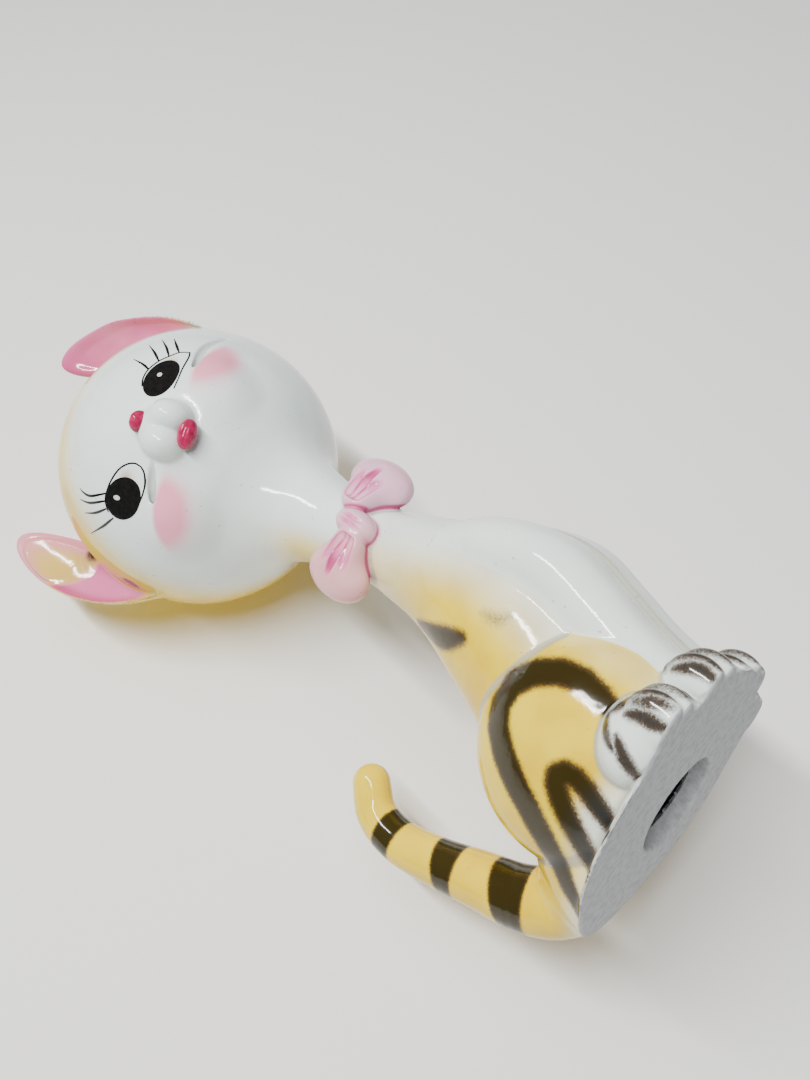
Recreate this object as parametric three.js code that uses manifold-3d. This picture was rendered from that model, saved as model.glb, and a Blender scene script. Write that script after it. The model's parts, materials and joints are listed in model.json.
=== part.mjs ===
// A long-necked seated ceramic kitten: slip-cast shells with sprigged ears, face, bow, limbs and tail.
// Millimetres, +Z up. The chest faces +X, the head is turned so that the face looks along -Y.
import * as THREE from 'three';
import { mergeVertices } from 'three/addons/utils/BufferGeometryUtils.js';
import Module from 'manifold-3d';

const wasm = await Module();
wasm.setup();

// Driving dimensions
const CROWN_HEIGHT = 172;
const HEAD_RADIUS = 34;
const NECK_RADIUS = 8.6;
const FOOT_DEPTH = 47;
const FOOT_WIDTH = 36;
const WALL = 3;
const GAP = 0.3;
const VENT_RADIUS = 10;
const FORELEG_RADIUS = 6.9;
const HAUNCH_RADIUS = 20.5;
const TAIL_RADIUS = 6.7;
const HEAD_TURN = THREE.MathUtils.degToRad(-84);
const HEAD_TILT = THREE.MathUtils.degToRad(17);
const BOW_TURN = THREE.MathUtils.degToRad(20);

// How far the muzzle sits to the cat's left of the middle of the face, in head radii
const MUZZLE_SIDE = 0.1;

// The irises: where they sit in head radii, and the lens that each one is cut from
const EYE_AT = { x: 0.87, y: 0.41, z: -0.28 };
const IRIS_RADII = { x: 2.2, y: 5, z: 5.6 };
const IRIS_SINK = 0.8;

// The ears, as shares of the head's radius and angles from the top of the head
const EAR_MIDDLE = THREE.MathUtils.degToRad(69);
const EAR_HALF_ARC = THREE.MathUtils.degToRad(33);
const EAR_TILT = THREE.MathUtils.degToRad(8);
const EAR_SKEW = 0.62;
const EAR_TAPER = 0.6;
const EAR_ROOT = 0.86;
const EAR_HEIGHT = { left: 0.38, right: 0.46 };
const EAR_FORWARD = 0.14;
const EAR_LEAN = 0.3;
const EAR_THICKNESS = 0.075;
const EAR_CUP = 0.06;

// Sizes worked out from them
const headCentre = new THREE.Vector3(-1, 0, CROWN_HEIGHT - HEAD_RADIUS);
const seamHeight = headCentre.z - 1.76 * HEAD_RADIUS;
const ventCentre = new THREE.Vector3(-2, 6, 0);
const SMOOTH = 24;
const COARSE = 14;
const TOE_SEGMENTS = 10;

// --- geometry helpers ---------------------------------------------------------------------------

// Keeps only positions, shares equal vertices and turns every face outwards.
function closed(geometry) {
  const bare = geometry.clone();
  bare.deleteAttribute('normal');
  bare.deleteAttribute('uv');
  const merged = mergeVertices(bare, 1e-4);
  const p = merged.attributes.position;
  const index = Array.from(merged.index.array);
  const corners = [new THREE.Vector3(), new THREE.Vector3(), new THREE.Vector3()];
  const kept = [];
  let volume = 0;
  for (let i = 0; i < index.length; i += 3) {
    const [a, b, c] = index.slice(i, i + 3);
    if (a === b || b === c || a === c) continue;
    corners.forEach((v, k) => v.fromBufferAttribute(p, [a, b, c][k]));
    volume += corners[0].dot(corners[1].clone().cross(corners[2]));
    kept.push(a, b, c);
  }
  if (volume < 0) kept.reverse();
  merged.setIndex(kept);
  return merged;
}

function toSolid(geometry) {
  const g = closed(geometry);
  return new wasm.Manifold(new wasm.Mesh({
    numProp: 3,
    vertProperties: new Float32Array(g.attributes.position.array),
    triVerts: new Uint32Array(g.index.array),
  }));
}

function toGeometry(solid) {
  const mesh = solid.getMesh();
  const g = new THREE.BufferGeometry();
  g.setAttribute('position', new THREE.BufferAttribute(new Float32Array(mesh.vertProperties), 3));
  g.setIndex(new THREE.BufferAttribute(new Uint32Array(mesh.triVerts), 1));
  return g;
}

const joined = (solids) => solids.reduce((all, one) => all.add(one));
const cutBy = (solid, others) => others.reduce((left, one) => left.subtract(one), solid);

// An ellipsoid with its poles along local Z.
function ellipsoid(radii, position, grow = 0, turn = new THREE.Euler(), segments = COARSE) {
  const g = new THREE.SphereGeometry(1, segments, Math.round(segments * 0.7));
  g.rotateX(Math.PI / 2);
  g.scale(radii.x + grow, radii.y + grow, radii.z + grow);
  g.applyQuaternion(new THREE.Quaternion().setFromEuler(turn));
  g.translate(position.x, position.y, position.z);
  return toSolid(g);
}

// A smooth stack of ellipse rings through the given stations, closed by flat ends.
function loft(stations, { grow = 0, rings = 18, segments = SMOOTH, stretch = 0 } = {}) {
  const middle = new THREE.CatmullRomCurve3(stations.map((s) => new THREE.Vector3(s.x, 0, s.z)));
  const reach = new THREE.CatmullRomCurve3(stations.map((s) => new THREE.Vector3(s.depth, s.width, s.z)));
  const profile = [new THREE.Vector2(0, 0)];
  for (let i = 0; i <= rings; i += 1) profile.push(new THREE.Vector2(1, i));
  profile.push(new THREE.Vector2(0, rings));
  const g = new THREE.LatheGeometry(profile, segments);
  const p = g.attributes.position;
  for (let i = 0; i < p.count; i += 1) {
    const t = Math.round(p.getY(i)) / rings;
    const centre = middle.getPoint(t);
    const size = reach.getPoint(t);
    const end = t === 0 ? -stretch : (t === 1 ? stretch : 0);
    p.setXYZ(i, centre.x + p.getZ(i) * (size.x + grow), p.getX(i) * (size.y + grow), centre.z + end);
  }
  return toSolid(g);
}

// A round-ended limb along a curve, whose radius runs smoothly through the given radii.
function limb(points, radii, { grow = 0, rings = 10, segments = COARSE } = {}) {
  const curve = new THREE.CatmullRomCurve3(points);
  const sizes = new THREE.CatmullRomCurve3(radii.map((r, i) => new THREE.Vector3(r, i, 0)));
  const radiusAt = (t) => sizes.getPoint(t).x + grow;
  const profile = [];
  const capRings = 3;
  for (let i = 0; i <= capRings; i += 1) {
    const a = (i / capRings) * Math.PI / 2;
    profile.push(new THREE.Vector2(Math.sin(a), -Math.cos(a)));
  }
  for (let i = 1; i < rings; i += 1) profile.push(new THREE.Vector2(1, i / rings));
  for (let i = capRings; i >= 0; i -= 1) {
    const a = (i / capRings) * Math.PI / 2;
    profile.push(new THREE.Vector2(Math.sin(a), 1 + Math.cos(a)));
  }
  const g = new THREE.LatheGeometry(profile, segments);
  const p = g.attributes.position;
  const side = new THREE.Vector3(0, 1, 0);
  for (let i = 0; i < p.count; i += 1) {
    const along = p.getY(i);
    const t = THREE.MathUtils.clamp(along, 0, 1);
    const ahead = curve.getTangentAt(t);
    const up = ahead.clone().cross(side).normalize();
    const across = up.clone().cross(ahead).normalize();
    const radius = radiusAt(t);
    const v = curve.getPointAt(t)
      .addScaledVector(ahead, (along - t) * radius)
      .addScaledVector(up, p.getX(i) * radius)
      .addScaledVector(across, p.getZ(i) * radius);
    p.setXYZ(i, v.x, v.y, v.z);
  }
  return toSolid(g);
}

const vec = (x, y, z) => new THREE.Vector3(x, y, z);
const groundBlock = new THREE.BoxGeometry(400, 400, 100).translate(0, 0, -50);
const ground = toSolid(groundBlock);

// --- torso: a hollow pear with a narrow neck, open at the neck and at the vent hole ----------------

const torsoStations = [
  { z: 0, x: -6, depth: FOOT_DEPTH / 2, width: FOOT_WIDTH / 2 },
  { z: 8, x: -5, depth: 22.5, width: 18.2 },
  { z: 20, x: 1.5, depth: 19.2, width: 17.6 },
  { z: 33, x: 7.6, depth: 19, width: 16.6 },
  { z: 46, x: 10.6, depth: 16.4, width: 14.8 },
  { z: 60, x: 11.4, depth: 12.3, width: 11.8 },
  { z: 70, x: 10.2, depth: 10.1, width: 10 },
  { z: seamHeight, x: 8.8, depth: NECK_RADIUS, width: NECK_RADIUS },
];
const torsoOuter = (grow) => loft(torsoStations, { grow, stretch: grow });
const torsoInner = loft(
  torsoStations.map((s) => ({ ...s, z: Math.max(s.z, WALL) + (s.z === seamHeight ? WALL : 0) })),
  { grow: -WALL, rings: 14, segments: COARSE },
);
const ventHole = toSolid(
  new THREE.CylinderGeometry(VENT_RADIUS, VENT_RADIUS, 4 * WALL, SMOOTH)
    .rotateX(Math.PI / 2)
    .translate(ventCentre.x, ventCentre.y, 0),
);
const torso = cutBy(torsoOuter(0), [torsoInner, ventHole]);

// --- head: a hollow ball with puffed cheeks, drawn down into the upper neck -------------------------

const headTurn = new THREE.Quaternion()
  .setFromAxisAngle(vec(0, 0, 1), HEAD_TURN)
  .multiply(new THREE.Quaternion().setFromAxisAngle(vec(1, 0, 0), HEAD_TILT));

// A point in the head's own directions: forward, the cat's left and up, in head radii.
function onHead(forward, left, up) {
  return vec(forward, left, up).multiplyScalar(HEAD_RADIUS).applyQuaternion(headTurn).add(headCentre);
}

const headEuler = new THREE.Euler().setFromQuaternion(headTurn);
const neckStations = [
  { z: seamHeight + GAP, x: 8.7, depth: NECK_RADIUS, width: NECK_RADIUS },
  { z: 85, x: 7.4, depth: 8.8, width: NECK_RADIUS },
  { z: 93, x: 6, depth: 9.6, width: 9.2 },
  { z: 100, x: 4.6, depth: 11.8, width: 11 },
  { z: 106, x: 3, depth: 14, width: 13.2 },
  { z: 112, x: 1.6, depth: 15, width: 14.4 },
];
const cheekRadii = vec(0.41, 0.41, 0.4).multiplyScalar(HEAD_RADIUS);

function headOuter(grow) {
  return joined([
    ellipsoid(vec(HEAD_RADIUS, HEAD_RADIUS, HEAD_RADIUS), headCentre, grow, headEuler, 28),
    loft(neckStations, { grow, rings: 7, stretch: grow }),
    ellipsoid(cheekRadii, onHead(0.43, 0.3, -0.39), grow, headEuler, SMOOTH),
    ellipsoid(cheekRadii, onHead(0.43, -0.3, -0.39), grow, headEuler, SMOOTH),
  ]);
}

const innerRadius = HEAD_RADIUS - WALL;
const head = cutBy(headOuter(0), [
  ellipsoid(vec(innerRadius, innerRadius, innerRadius), headCentre, 0, headEuler, 16),
  loft(neckStations, { grow: -WALL, rings: 6, segments: COARSE, stretch: WALL }),
]);
const headGuard = headOuter(GAP);
const torsoGuard = torsoOuter(GAP);

// --- face and ears ----------------------------------------------------------------------------------

function muzzlePads(grow) {
  return joined([1, -1].map((side) => ellipsoid(
    vec(5.2, 4.1, 4.9),
    onHead(0.86, MUZZLE_SIDE + side * 0.085, -0.48),
    grow,
    headEuler,
    COARSE,
  )));
}
const muzzle = cutBy(muzzlePads(0), [headGuard]);
const muzzleGuard = muzzlePads(GAP);

const noseTip = cutBy(
  ellipsoid(vec(2.6, 2.5, 1.7), onHead(0.985, MUZZLE_SIDE, -0.35), 0, headEuler, COARSE),
  [muzzleGuard, headGuard],
);
const mouth = cutBy(
  ellipsoid(vec(2.6, 3.2, 2.6), onHead(0.86, MUZZLE_SIDE, -0.65), 0, headEuler, COARSE),
  [muzzleGuard, headGuard],
);

// An iris: a thin lens of enamel on the ball of the head, tall in the head's own up direction.
function iris(side) {
  const outwards = vec(EYE_AT.x, side * EYE_AT.y, EYE_AT.z).normalize();
  const turn = new THREE.Quaternion().setFromUnitVectors(vec(1, 0, 0), outwards);
  const euler = new THREE.Euler().setFromQuaternion(headTurn.clone().multiply(turn));
  const at = outwards.multiplyScalar(1 - IRIS_SINK / HEAD_RADIUS);
  return cutBy(ellipsoid(IRIS_RADII, onHead(at.x, at.y, at.z), 0, euler, SMOOTH), [headGuard]);
}

// A floppy ear: a cupped fin along an arc from the crown down the side of the head, leaning forwards.
// It is laid out around the head's forward axis: x runs along the arc, y outwards and z forwards.
function ear(side) {
  const height = side > 0 ? EAR_HEIGHT.left : EAR_HEIGHT.right;
  const g = new THREE.SphereGeometry(1, 18, 14);
  const p = g.attributes.position;
  for (let i = 0; i < p.count; i += 1) {
    const [x, y, z] = [p.getX(i), p.getY(i), p.getZ(i)];
    const outwards = (y + 1) / 2;
    const angle = side * (EAR_MIDDLE + EAR_HALF_ARC * (x - EAR_SKEW * outwards * outwards)) - EAR_TILT;
    const reach = EAR_ROOT + height * outwards * (1 - EAR_TAPER * x);
    const cup = EAR_CUP * (1 - x * x - y * y);
    const forward = EAR_FORWARD + EAR_LEAN * outwards * (1 - 0.5 * x) + EAR_THICKNESS * z - cup;
    const v = onHead(forward, reach * Math.sin(angle), reach * Math.cos(angle));
    p.setXYZ(i, v.x, v.y, v.z);
  }
  return cutBy(toSolid(g), [headGuard]);
}

// --- bow: a knot and two pillowy loops laid on the neck over the seam -------------------------------

const bowTurn = new THREE.Euler(0, 0, BOW_TURN);
const bowPoint = (along, out, up) => vec(along, -out, up)
  .applyEuler(bowTurn)
  .add(vec(7.8, 0, seamHeight + 2.4));
const knotSolid = (grow) => ellipsoid(vec(3.8, 3.6, 4.6), bowPoint(0, 9.8, 0), grow, bowTurn);
const knot = cutBy(knotSolid(0), [torsoGuard, headGuard]);

function bowLoop(side) {
  const centre = side > 0 ? bowPoint(9.6, 6.6, 4.6) : bowPoint(-8.3, 7.4, -1.4);
  const g = new THREE.SphereGeometry(1, 16, 12);
  const p = g.attributes.position;
  for (let i = 0; i < p.count; i += 1) {
    const out = p.getX(i) * side;
    const flare = 0.82 + 0.3 * out;
    p.setXYZ(i, p.getX(i) * 7.4, p.getY(i) * 4.6 * flare, p.getZ(i) * 8 * flare);
  }
  g.applyQuaternion(new THREE.Quaternion().setFromEuler(new THREE.Euler(0, 0, BOW_TURN + side * 0.5)));
  g.translate(centre.x, centre.y, centre.z);
  return cutBy(toSolid(g), [torsoGuard, headGuard, knotSolid(GAP)]);
}

// --- limbs --------------------------------------------------------------------------------------------

// A paw with three rounded toes, standing flat on the ground.
function pawSolid(at, body, toe, grow) {
  const parts = [ellipsoid(body, at, grow)];
  [-1, 0, 1].forEach((step) => {
    const reach = body.x * (step === 0 ? 0.72 : 0.6);
    parts.push(ellipsoid(
      toe,
      vec(at.x + reach, at.y + step * toe.y * 1.5, toe.z * 0.62),
      grow,
      new THREE.Euler(),
      TOE_SEGMENTS,
    ));
  });
  return joined(parts);
}

const forepawAt = (side) => vec(17.5, side * 8.2, 4.6);
const forepawSolid = (side, grow) => pawSolid(forepawAt(side), vec(8, 7.2, 6), vec(4.6, 2.9, 5.4), grow);
const hindPawAt = (side) => vec(11, side * 19.6, 4.6);
const hindPawSolid = (side, grow) => pawSolid(hindPawAt(side), vec(8.2, 5.8, 6.4), vec(4.4, 2.4, 5.2), grow);

function foreleg(side, grow = 0) {
  const points = [
    vec(22.5, side * 7.1, 50),
    vec(25, side * 7.1, 40),
    vec(22.2, side * 7.1, 28),
    vec(19.4, side * 7.3, 18),
    vec(17.8, side * 7.8, 9),
  ];
  const radii = [0.8, 1, 0.98, 0.92, 0.88].map((k) => k * FORELEG_RADIUS);
  return limb(points, radii, { grow });
}

const haunchSolid = (side, grow) => ellipsoid(
  vec(HAUNCH_RADIUS, 12.2, HAUNCH_RADIUS),
  vec(1, side * 10.6, 14.4),
  grow,
  new THREE.Euler(),
  20,
);

const tailPoints = [
  vec(-21, 0, 6.4),
  vec(-28, 0, 7.6),
  vec(-32.8, 0, 14),
  vec(-36, 0, 23.5),
  vec(-39.2, 0, 33),
  vec(-41.4, 0, 42.5),
  vec(-40.2, 0, 50),
  vec(-35.6, 0, 54.6),
];
const tailSizes = [1.05, 1, 0.94, 0.84, 0.74, 0.68, 0.64, 0.6].map((k) => k * TAIL_RADIUS);
const tail = cutBy(limb(tailPoints, tailSizes, { rings: 15 }), [torsoGuard, ground]);
const tailGuard = limb(tailPoints, tailSizes, { grow: GAP, rings: 15 });

function sideSolids(side) {
  const haunch = cutBy(haunchSolid(side, 0), [torsoGuard, ground, tailGuard, hindPawSolid(side, GAP)]);
  const legGuards = [torsoGuard, ground, haunchSolid(side, GAP)];
  return {
    haunch,
    hindPaw: cutBy(hindPawSolid(side, 0), [torsoGuard, ground]),
    foreleg: cutBy(foreleg(side), [...legGuards, forepawSolid(side, GAP)]),
    forepaw: cutBy(forepawSolid(side, 0), [...legGuards, hindPawSolid(side, GAP)]),
  };
}

// --- scene graph ------------------------------------------------------------------------------------

const glazes = {
  cream: { color: 0xf1e3a6, roughness: 0.14 },
  white: { color: 0xe9f0ea, roughness: 0.14 },
  pink: { color: 0xe58fb0, roughness: 0.16 },
  red: { color: 0xb5253c, roughness: 0.2 },
  black: { color: 0x14130f, roughness: 0.12 },
};

const group = new THREE.Group();
const bodyGroup = new THREE.Group();
const headGroup = new THREE.Group();
const bowGroup = new THREE.Group();
headGroup.position.copy(headCentre);
headGroup.quaternion.copy(headTurn);
bowGroup.position.copy(bowPoint(0, 0, 0));
bowGroup.rotation.copy(bowTurn);
group.add(bodyGroup, headGroup, bowGroup);
group.updateMatrixWorld(true);

// Puts a solid made in the figure's frame into a sub-group, about its own centre.
function place(parent, name, solid, glaze) {
  const g = toGeometry(solid);
  g.applyMatrix4(parent.matrixWorld.clone().invert());
  g.computeBoundingBox();
  const centre = g.boundingBox.getCenter(new THREE.Vector3());
  g.translate(-centre.x, -centre.y, -centre.z);
  g.computeVertexNormals();
  const material = new THREE.MeshStandardMaterial({ ...glazes[glaze], metalness: 0 });
  const mesh = new THREE.Mesh(g, material);
  mesh.name = name;
  mesh.position.copy(centre);
  parent.add(mesh);
}

place(bodyGroup, 'torso_shell', torso, 'cream');
place(bodyGroup, 'tail', tail, 'cream');
[['left', 1], ['right', -1]].forEach(([word, side]) => {
  const solids = sideSolids(side);
  place(bodyGroup, `${word}_haunch`, solids.haunch, 'cream');
  place(bodyGroup, `${word}_hind_paw`, solids.hindPaw, 'cream');
  place(bodyGroup, `${word}_foreleg`, solids.foreleg, 'white');
  place(bodyGroup, `${word}_forepaw`, solids.forepaw, 'white');
  place(headGroup, `${word}_ear`, ear(side), 'pink');
  place(headGroup, `${word}_iris`, iris(side), 'black');
  place(bowGroup, `bow_${word}_loop`, bowLoop(side), 'pink');
});
place(headGroup, 'head_shell', head, 'white');
place(headGroup, 'muzzle', muzzle, 'white');
place(headGroup, 'nose_tip', noseTip, 'red');
place(headGroup, 'mouth', mouth, 'red');
place(bowGroup, 'bow_knot', knot, 'pink');

// The origin is under the middle of the whole figure, on the ground it stands on.
const bounds = new THREE.Box3().setFromObject(group, true);
const middle = bounds.getCenter(new THREE.Vector3());
group.position.set(-middle.x, -middle.y, -bounds.min.z);

export default group;
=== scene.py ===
"""A seated ceramic kitten: its glazed skin, painted face, bow and stripes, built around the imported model."""

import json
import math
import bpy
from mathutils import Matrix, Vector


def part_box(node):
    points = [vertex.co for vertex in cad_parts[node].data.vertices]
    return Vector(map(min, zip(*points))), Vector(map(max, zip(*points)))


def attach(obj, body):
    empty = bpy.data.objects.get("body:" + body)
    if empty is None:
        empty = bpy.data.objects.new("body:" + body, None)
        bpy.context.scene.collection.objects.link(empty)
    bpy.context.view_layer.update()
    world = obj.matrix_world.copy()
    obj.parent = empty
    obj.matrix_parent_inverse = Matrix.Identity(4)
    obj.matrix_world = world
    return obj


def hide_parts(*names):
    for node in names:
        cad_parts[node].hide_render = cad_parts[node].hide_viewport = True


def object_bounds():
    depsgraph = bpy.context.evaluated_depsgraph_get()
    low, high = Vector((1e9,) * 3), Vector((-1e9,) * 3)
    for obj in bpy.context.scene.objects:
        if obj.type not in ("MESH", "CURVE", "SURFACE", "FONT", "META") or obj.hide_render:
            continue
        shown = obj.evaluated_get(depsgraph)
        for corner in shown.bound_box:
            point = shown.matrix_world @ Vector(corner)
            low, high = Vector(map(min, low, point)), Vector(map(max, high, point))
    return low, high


bl_info = {
    "name": "Ceramic Kitten",
    "version": (1, 0, 0),
    "blender": (4, 5, 0),
    "location": "3D Viewport > Sidebar > Kitten",
    "description": "Builds the glazed skin and the painted details of a slip-cast kitten figurine",
    "category": "Add Mesh",
}

import bpy
import numpy as np
from mathutils import Matrix

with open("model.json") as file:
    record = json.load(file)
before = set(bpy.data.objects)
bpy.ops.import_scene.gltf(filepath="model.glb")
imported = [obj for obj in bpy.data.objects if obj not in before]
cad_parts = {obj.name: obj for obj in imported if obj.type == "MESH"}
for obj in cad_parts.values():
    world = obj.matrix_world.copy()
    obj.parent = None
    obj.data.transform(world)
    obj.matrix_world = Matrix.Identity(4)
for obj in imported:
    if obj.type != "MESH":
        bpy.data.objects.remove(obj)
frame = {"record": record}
cad_bounds = [list(corner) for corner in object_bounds()]

# --- the figure's own frame: millimetres, chest +X, face -Y, up +Z, centred on the neck ---

MM = 0.001
FAR = 60.0  # the distance given to points that a form has no say in
MARGIN = 7.0  # how far past its CAD box a form has a say
FOOT_BACK = -29.5
HEAD_RADIUS = 34.0
HEAD_TURN = math.radians(-84)
HEAD_TILT = math.radians(17)
MUZZLE_SIDE = 0.1
BOW_TURN = math.radians(20)
BOW_SPLAY = 0.5
BOW_MIDDLE = (7.8, 0.0, 2.4)
SIDES = {"left": 1, "right": -1}


def box_mm(node):
    """The lowest and the highest corner of a CAD node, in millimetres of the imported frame."""
    low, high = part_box(node)
    return np.array(low) / MM, np.array(high) / MM


torso_low, torso_high = box_mm("torso_shell")
head_low, head_high = box_mm("head_shell")
ORIGIN = np.array([torso_low[0] - FOOT_BACK, (torso_low[1] + torso_high[1]) / 2, 0.0])
SEAM = torso_high[2]
HEAD_CENTRE = np.array([
    (head_low[0] + head_high[0]) / 2,
    head_high[1] - HEAD_RADIUS,
    head_high[2] - HEAD_RADIUS,
]) - ORIGIN


def turned(yaw, roll=0.0):
    """Axes turned by yaw about Z, then by roll about their own X, as the columns of a matrix."""
    return np.array(Matrix.Rotation(yaw, 3, "Z") @ Matrix.Rotation(roll, 3, "X"))


HEAD_AXES = turned(HEAD_TURN, HEAD_TILT)
BOW_AXES = turned(BOW_TURN)
BOW_CENTRE = np.array([BOW_MIDDLE[0], BOW_MIDDLE[1], BOW_MIDDLE[2] + SEAM])


def on_head(forward, left, up):
    """A point given in head radii along the head's own directions."""
    return HEAD_AXES @ np.array([forward, left, up]) * HEAD_RADIUS + HEAD_CENTRE


def on_bow(along, out, up):
    """A point given from the middle of the bow: along the ribbon, out of the neck and up."""
    return BOW_AXES @ np.array([along, -out, up]) + BOW_CENTRE


# --- distance functions, each from an (n, 3) array of points to n distances ---


def through(knots, values, at):
    """A smooth curve through values at knots."""
    knots, values = np.asarray(knots, float), np.asarray(values, float)
    slopes = np.gradient(values, knots, axis=0)
    i = np.clip(np.searchsorted(knots, at, side="right") - 1, 0, len(knots) - 2)
    span = knots[i + 1] - knots[i]
    t = np.clip((at - knots[i]) / span, 0, 1)
    if values.ndim > 1:
        span, t = span[:, None], t[:, None]
    start, end = values[i], values[i + 1]
    lift, drop = slopes[i] * span, slopes[i + 1] * span
    share = t * t * (3 - 2 * t)
    return start + (end - start) * share + lift * t * (1 - t) ** 2 - drop * t * t * (1 - t)


def rise(value, low, high):
    """0 up to low, 1 from high on, and smooth between them."""
    t = np.clip((value - low) / (high - low), 0, 1)
    return t * t * (3 - 2 * t)


def blend(a, b, width):
    """The nearer of two surfaces, joined by a fillet of that width."""
    h = np.maximum(width - np.abs(a - b), 0) / width
    return np.minimum(a, b) - h * h * width / 4


def carve(a, b, width):
    """Surface a with b taken out of it, the edge rounded over that width."""
    return -blend(-a, b, width)


def ellipsoid(points, centre, radii, axes=None):
    """About the distance to an ellipsoid, whose radii lie along axes."""
    local = points - centre
    if axes is not None:
        local = local @ axes
    far = np.linalg.norm(local / radii, axis=1)
    near = np.linalg.norm(local / np.square(radii), axis=1)
    return far * (far - 1) / np.maximum(near, 1e-9)


def tube(points, path, sizes):
    """A round rod along a path, whose radius goes through sizes."""
    best = np.full(len(points), FAR)
    for a, b, ra, rb in zip(path[:-1], path[1:], sizes[:-1], sizes[1:]):
        along = b - a
        t = np.clip((points - a) @ along / (along @ along), 0, 1)
        gap = np.linalg.norm(points - a - t[:, None] * along, axis=1)
        best = np.minimum(best, gap - ra - t * (rb - ra))
    return best


def smooth_rod(points, knots, sizes, steps):
    """A tube along the smooth curve through knots."""
    at = np.linspace(0, len(knots) - 1, steps + 1)
    places = range(len(knots))
    return tube(points, through(places, knots, at), through(places, sizes, at))


# Height, middle in X, half depth and half width of the body, from the foot into the head
COLUMN = np.array([
    (-4, -6, 23.5, 18.0),
    (0, -6, 23.5, 18.0),
    (8, -5, 22.5, 18.2),
    (20, 1.5, 19.2, 17.6),
    (33, 7.6, 19.0, 16.6),
    (46, 10.6, 16.4, 14.8),
    (60, 11.4, 12.3, 11.8),
    (70, 10.2, 10.1, 10.0),
    (78.2, 8.8, 8.6, 8.6),
    (85, 7.4, 8.8, 8.6),
    (93, 6.0, 9.6, 9.2),
    (100, 4.6, 11.8, 11.0),
    (106, 3.0, 14.0, 13.2),
    (113, 1.4, 15.5, 14.8),
])


def column(points):
    """The pear of the body, its neck and the flare under the head."""
    middle, depth, width = through(COLUMN[:, 0], COLUMN[:, 1:], points[:, 2]).T
    local = np.stack([points[:, 0] - middle, points[:, 1]], 1)
    radii = np.stack([depth, width], 1)
    far = np.linalg.norm(local / radii, axis=1)
    near = np.linalg.norm(local / np.square(radii), axis=1)
    side = far * (far - 1) / np.maximum(near, 1e-9)
    return np.maximum(side, points[:, 2] - COLUMN[-1, 0])


def foot(p):
    """The flat underside that joins the paws."""
    return ellipsoid(p, np.zeros(3), (27.0, 24.5, 3.0))


def haunch(side):
    return lambda p: ellipsoid(p, (1.0, side * 10.6, 14.4), (20.5, 12.2, 20.5))


LEG_LINE = np.array([
    (18.5, 6.0, 60.0),
    (22.6, 6.8, 50.0),
    (24.6, 7.1, 38.0),
    (22.2, 7.1, 28.0),
    (19.4, 7.3, 18.0),
    (17.8, 7.8, 9.0),
])
LEG_SIZES = 6.9 * np.array([0.6, 0.9, 1.0, 0.98, 0.92, 0.88])
LEG_CREASE_SIZES = np.array([0.3, 1.1, 1.6, 1.7, 1.8, 2.1])
LEG_CREASE_BACK = 14.0


def foreleg(side):
    return lambda p: smooth_rod(p, LEG_LINE * (1, side, 1), LEG_SIZES, 40)


def chest(p):
    """The clay that fills between the forelegs, almost to their fronts."""
    return smooth_rod(p, LEG_LINE * (1, 0, 1), LEG_SIZES, 30)


def leg_crease(p):
    """The long narrow line cut between the forelegs."""
    front = LEG_LINE * (1, 0, 1)
    front[:, 0] += LEG_SIZES
    distance = np.full(len(p), FAR)
    before = (p[:, 0] > LEG_CREASE_BACK) & (np.abs(p[:, 1]) < MARGIN)
    near = np.flatnonzero(before & (p[:, 2] < LEG_LINE[0, 2] + MARGIN))
    distance[near] = smooth_rod(p[near], front, LEG_CREASE_SIZES, 30)
    return distance


# Each pair of paws: the left one's middle, the radii of its body and the radii of a toe
PAWS = {
    "forepaw": ((17.5, 8.2, 4.6), (8.0, 7.2, 6.0), (4.6, 2.9, 5.4)),
    "hind_paw": ((11.0, 19.6, 4.6), (8.2, 5.8, 6.4), (4.4, 2.4, 5.2)),
}
TOES = (-1, 0, 1)
TOE_SPREAD = 1.5


def paw(kind, side):
    """A low round paw with three toes towards +X, parted by narrow grooves."""
    at, body, toe = PAWS[kind]
    at = (at[0], side * at[1], at[2])

    def distance(p):
        whole = ellipsoid(p, at, body)
        for step in TOES:
            reach = body[0] * (0.72 if step == 0 else 0.6)
            centre = (at[0] + reach, at[1] + step * toe[1] * TOE_SPREAD, toe[2] * 0.62)
            whole = blend(whole, ellipsoid(p, centre, toe), 0.7)
        return whole
    return distance


TAIL_LINE = np.array([
    (-21, 0, 6.4),
    (-28, 0, 7.6),
    (-32.8, 0, 14),
    (-36, 0, 23.5),
    (-39.2, 0, 33),
    (-41.4, 0, 42.5),
    (-40.2, 0, 50),
    (-35.6, 0, 54.6),
])
TAIL_SIZES = 6.7 * np.array([1.05, 1, 0.94, 0.84, 0.74, 0.68, 0.64, 0.6])


def tail(p):
    return smooth_rod(p, TAIL_LINE, TAIL_SIZES, 36)


def head_ball(p):
    return np.linalg.norm(p - HEAD_CENTRE, axis=1) - HEAD_RADIUS


def cheek(side):
    centre = on_head(0.43, side * 0.3, -0.39)
    radii = np.array([0.41, 0.41, 0.4]) * HEAD_RADIUS
    return lambda p: ellipsoid(p, centre, radii, HEAD_AXES)


# The creases over the cheeks, under the eyes, from beside the muzzle outwards, in head radii
CREASES = (
    ((0.78, 0.51, -0.45), (0.72, 0.62, -0.4), (0.65, 0.71, -0.34), (0.55, 0.79, -0.3), (0.4, 0.88, -0.29)),
    ((0.89, -0.14, -0.46), (0.875, -0.2, -0.465), (0.86, -0.26, -0.47), (0.83, -0.34, -0.48),
     (0.80, -0.40, -0.49)),
)
CREASE_SIZES = np.array([0.3, 0.7, 0.85, 0.7, 0.2])
CREASE_PATHS = [
    np.array([on_head(*(np.array(knot) / np.linalg.norm(knot))) for knot in knots]) for knots in CREASES
]
CREASE_BAND = (-30.0, 10.0)


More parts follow.
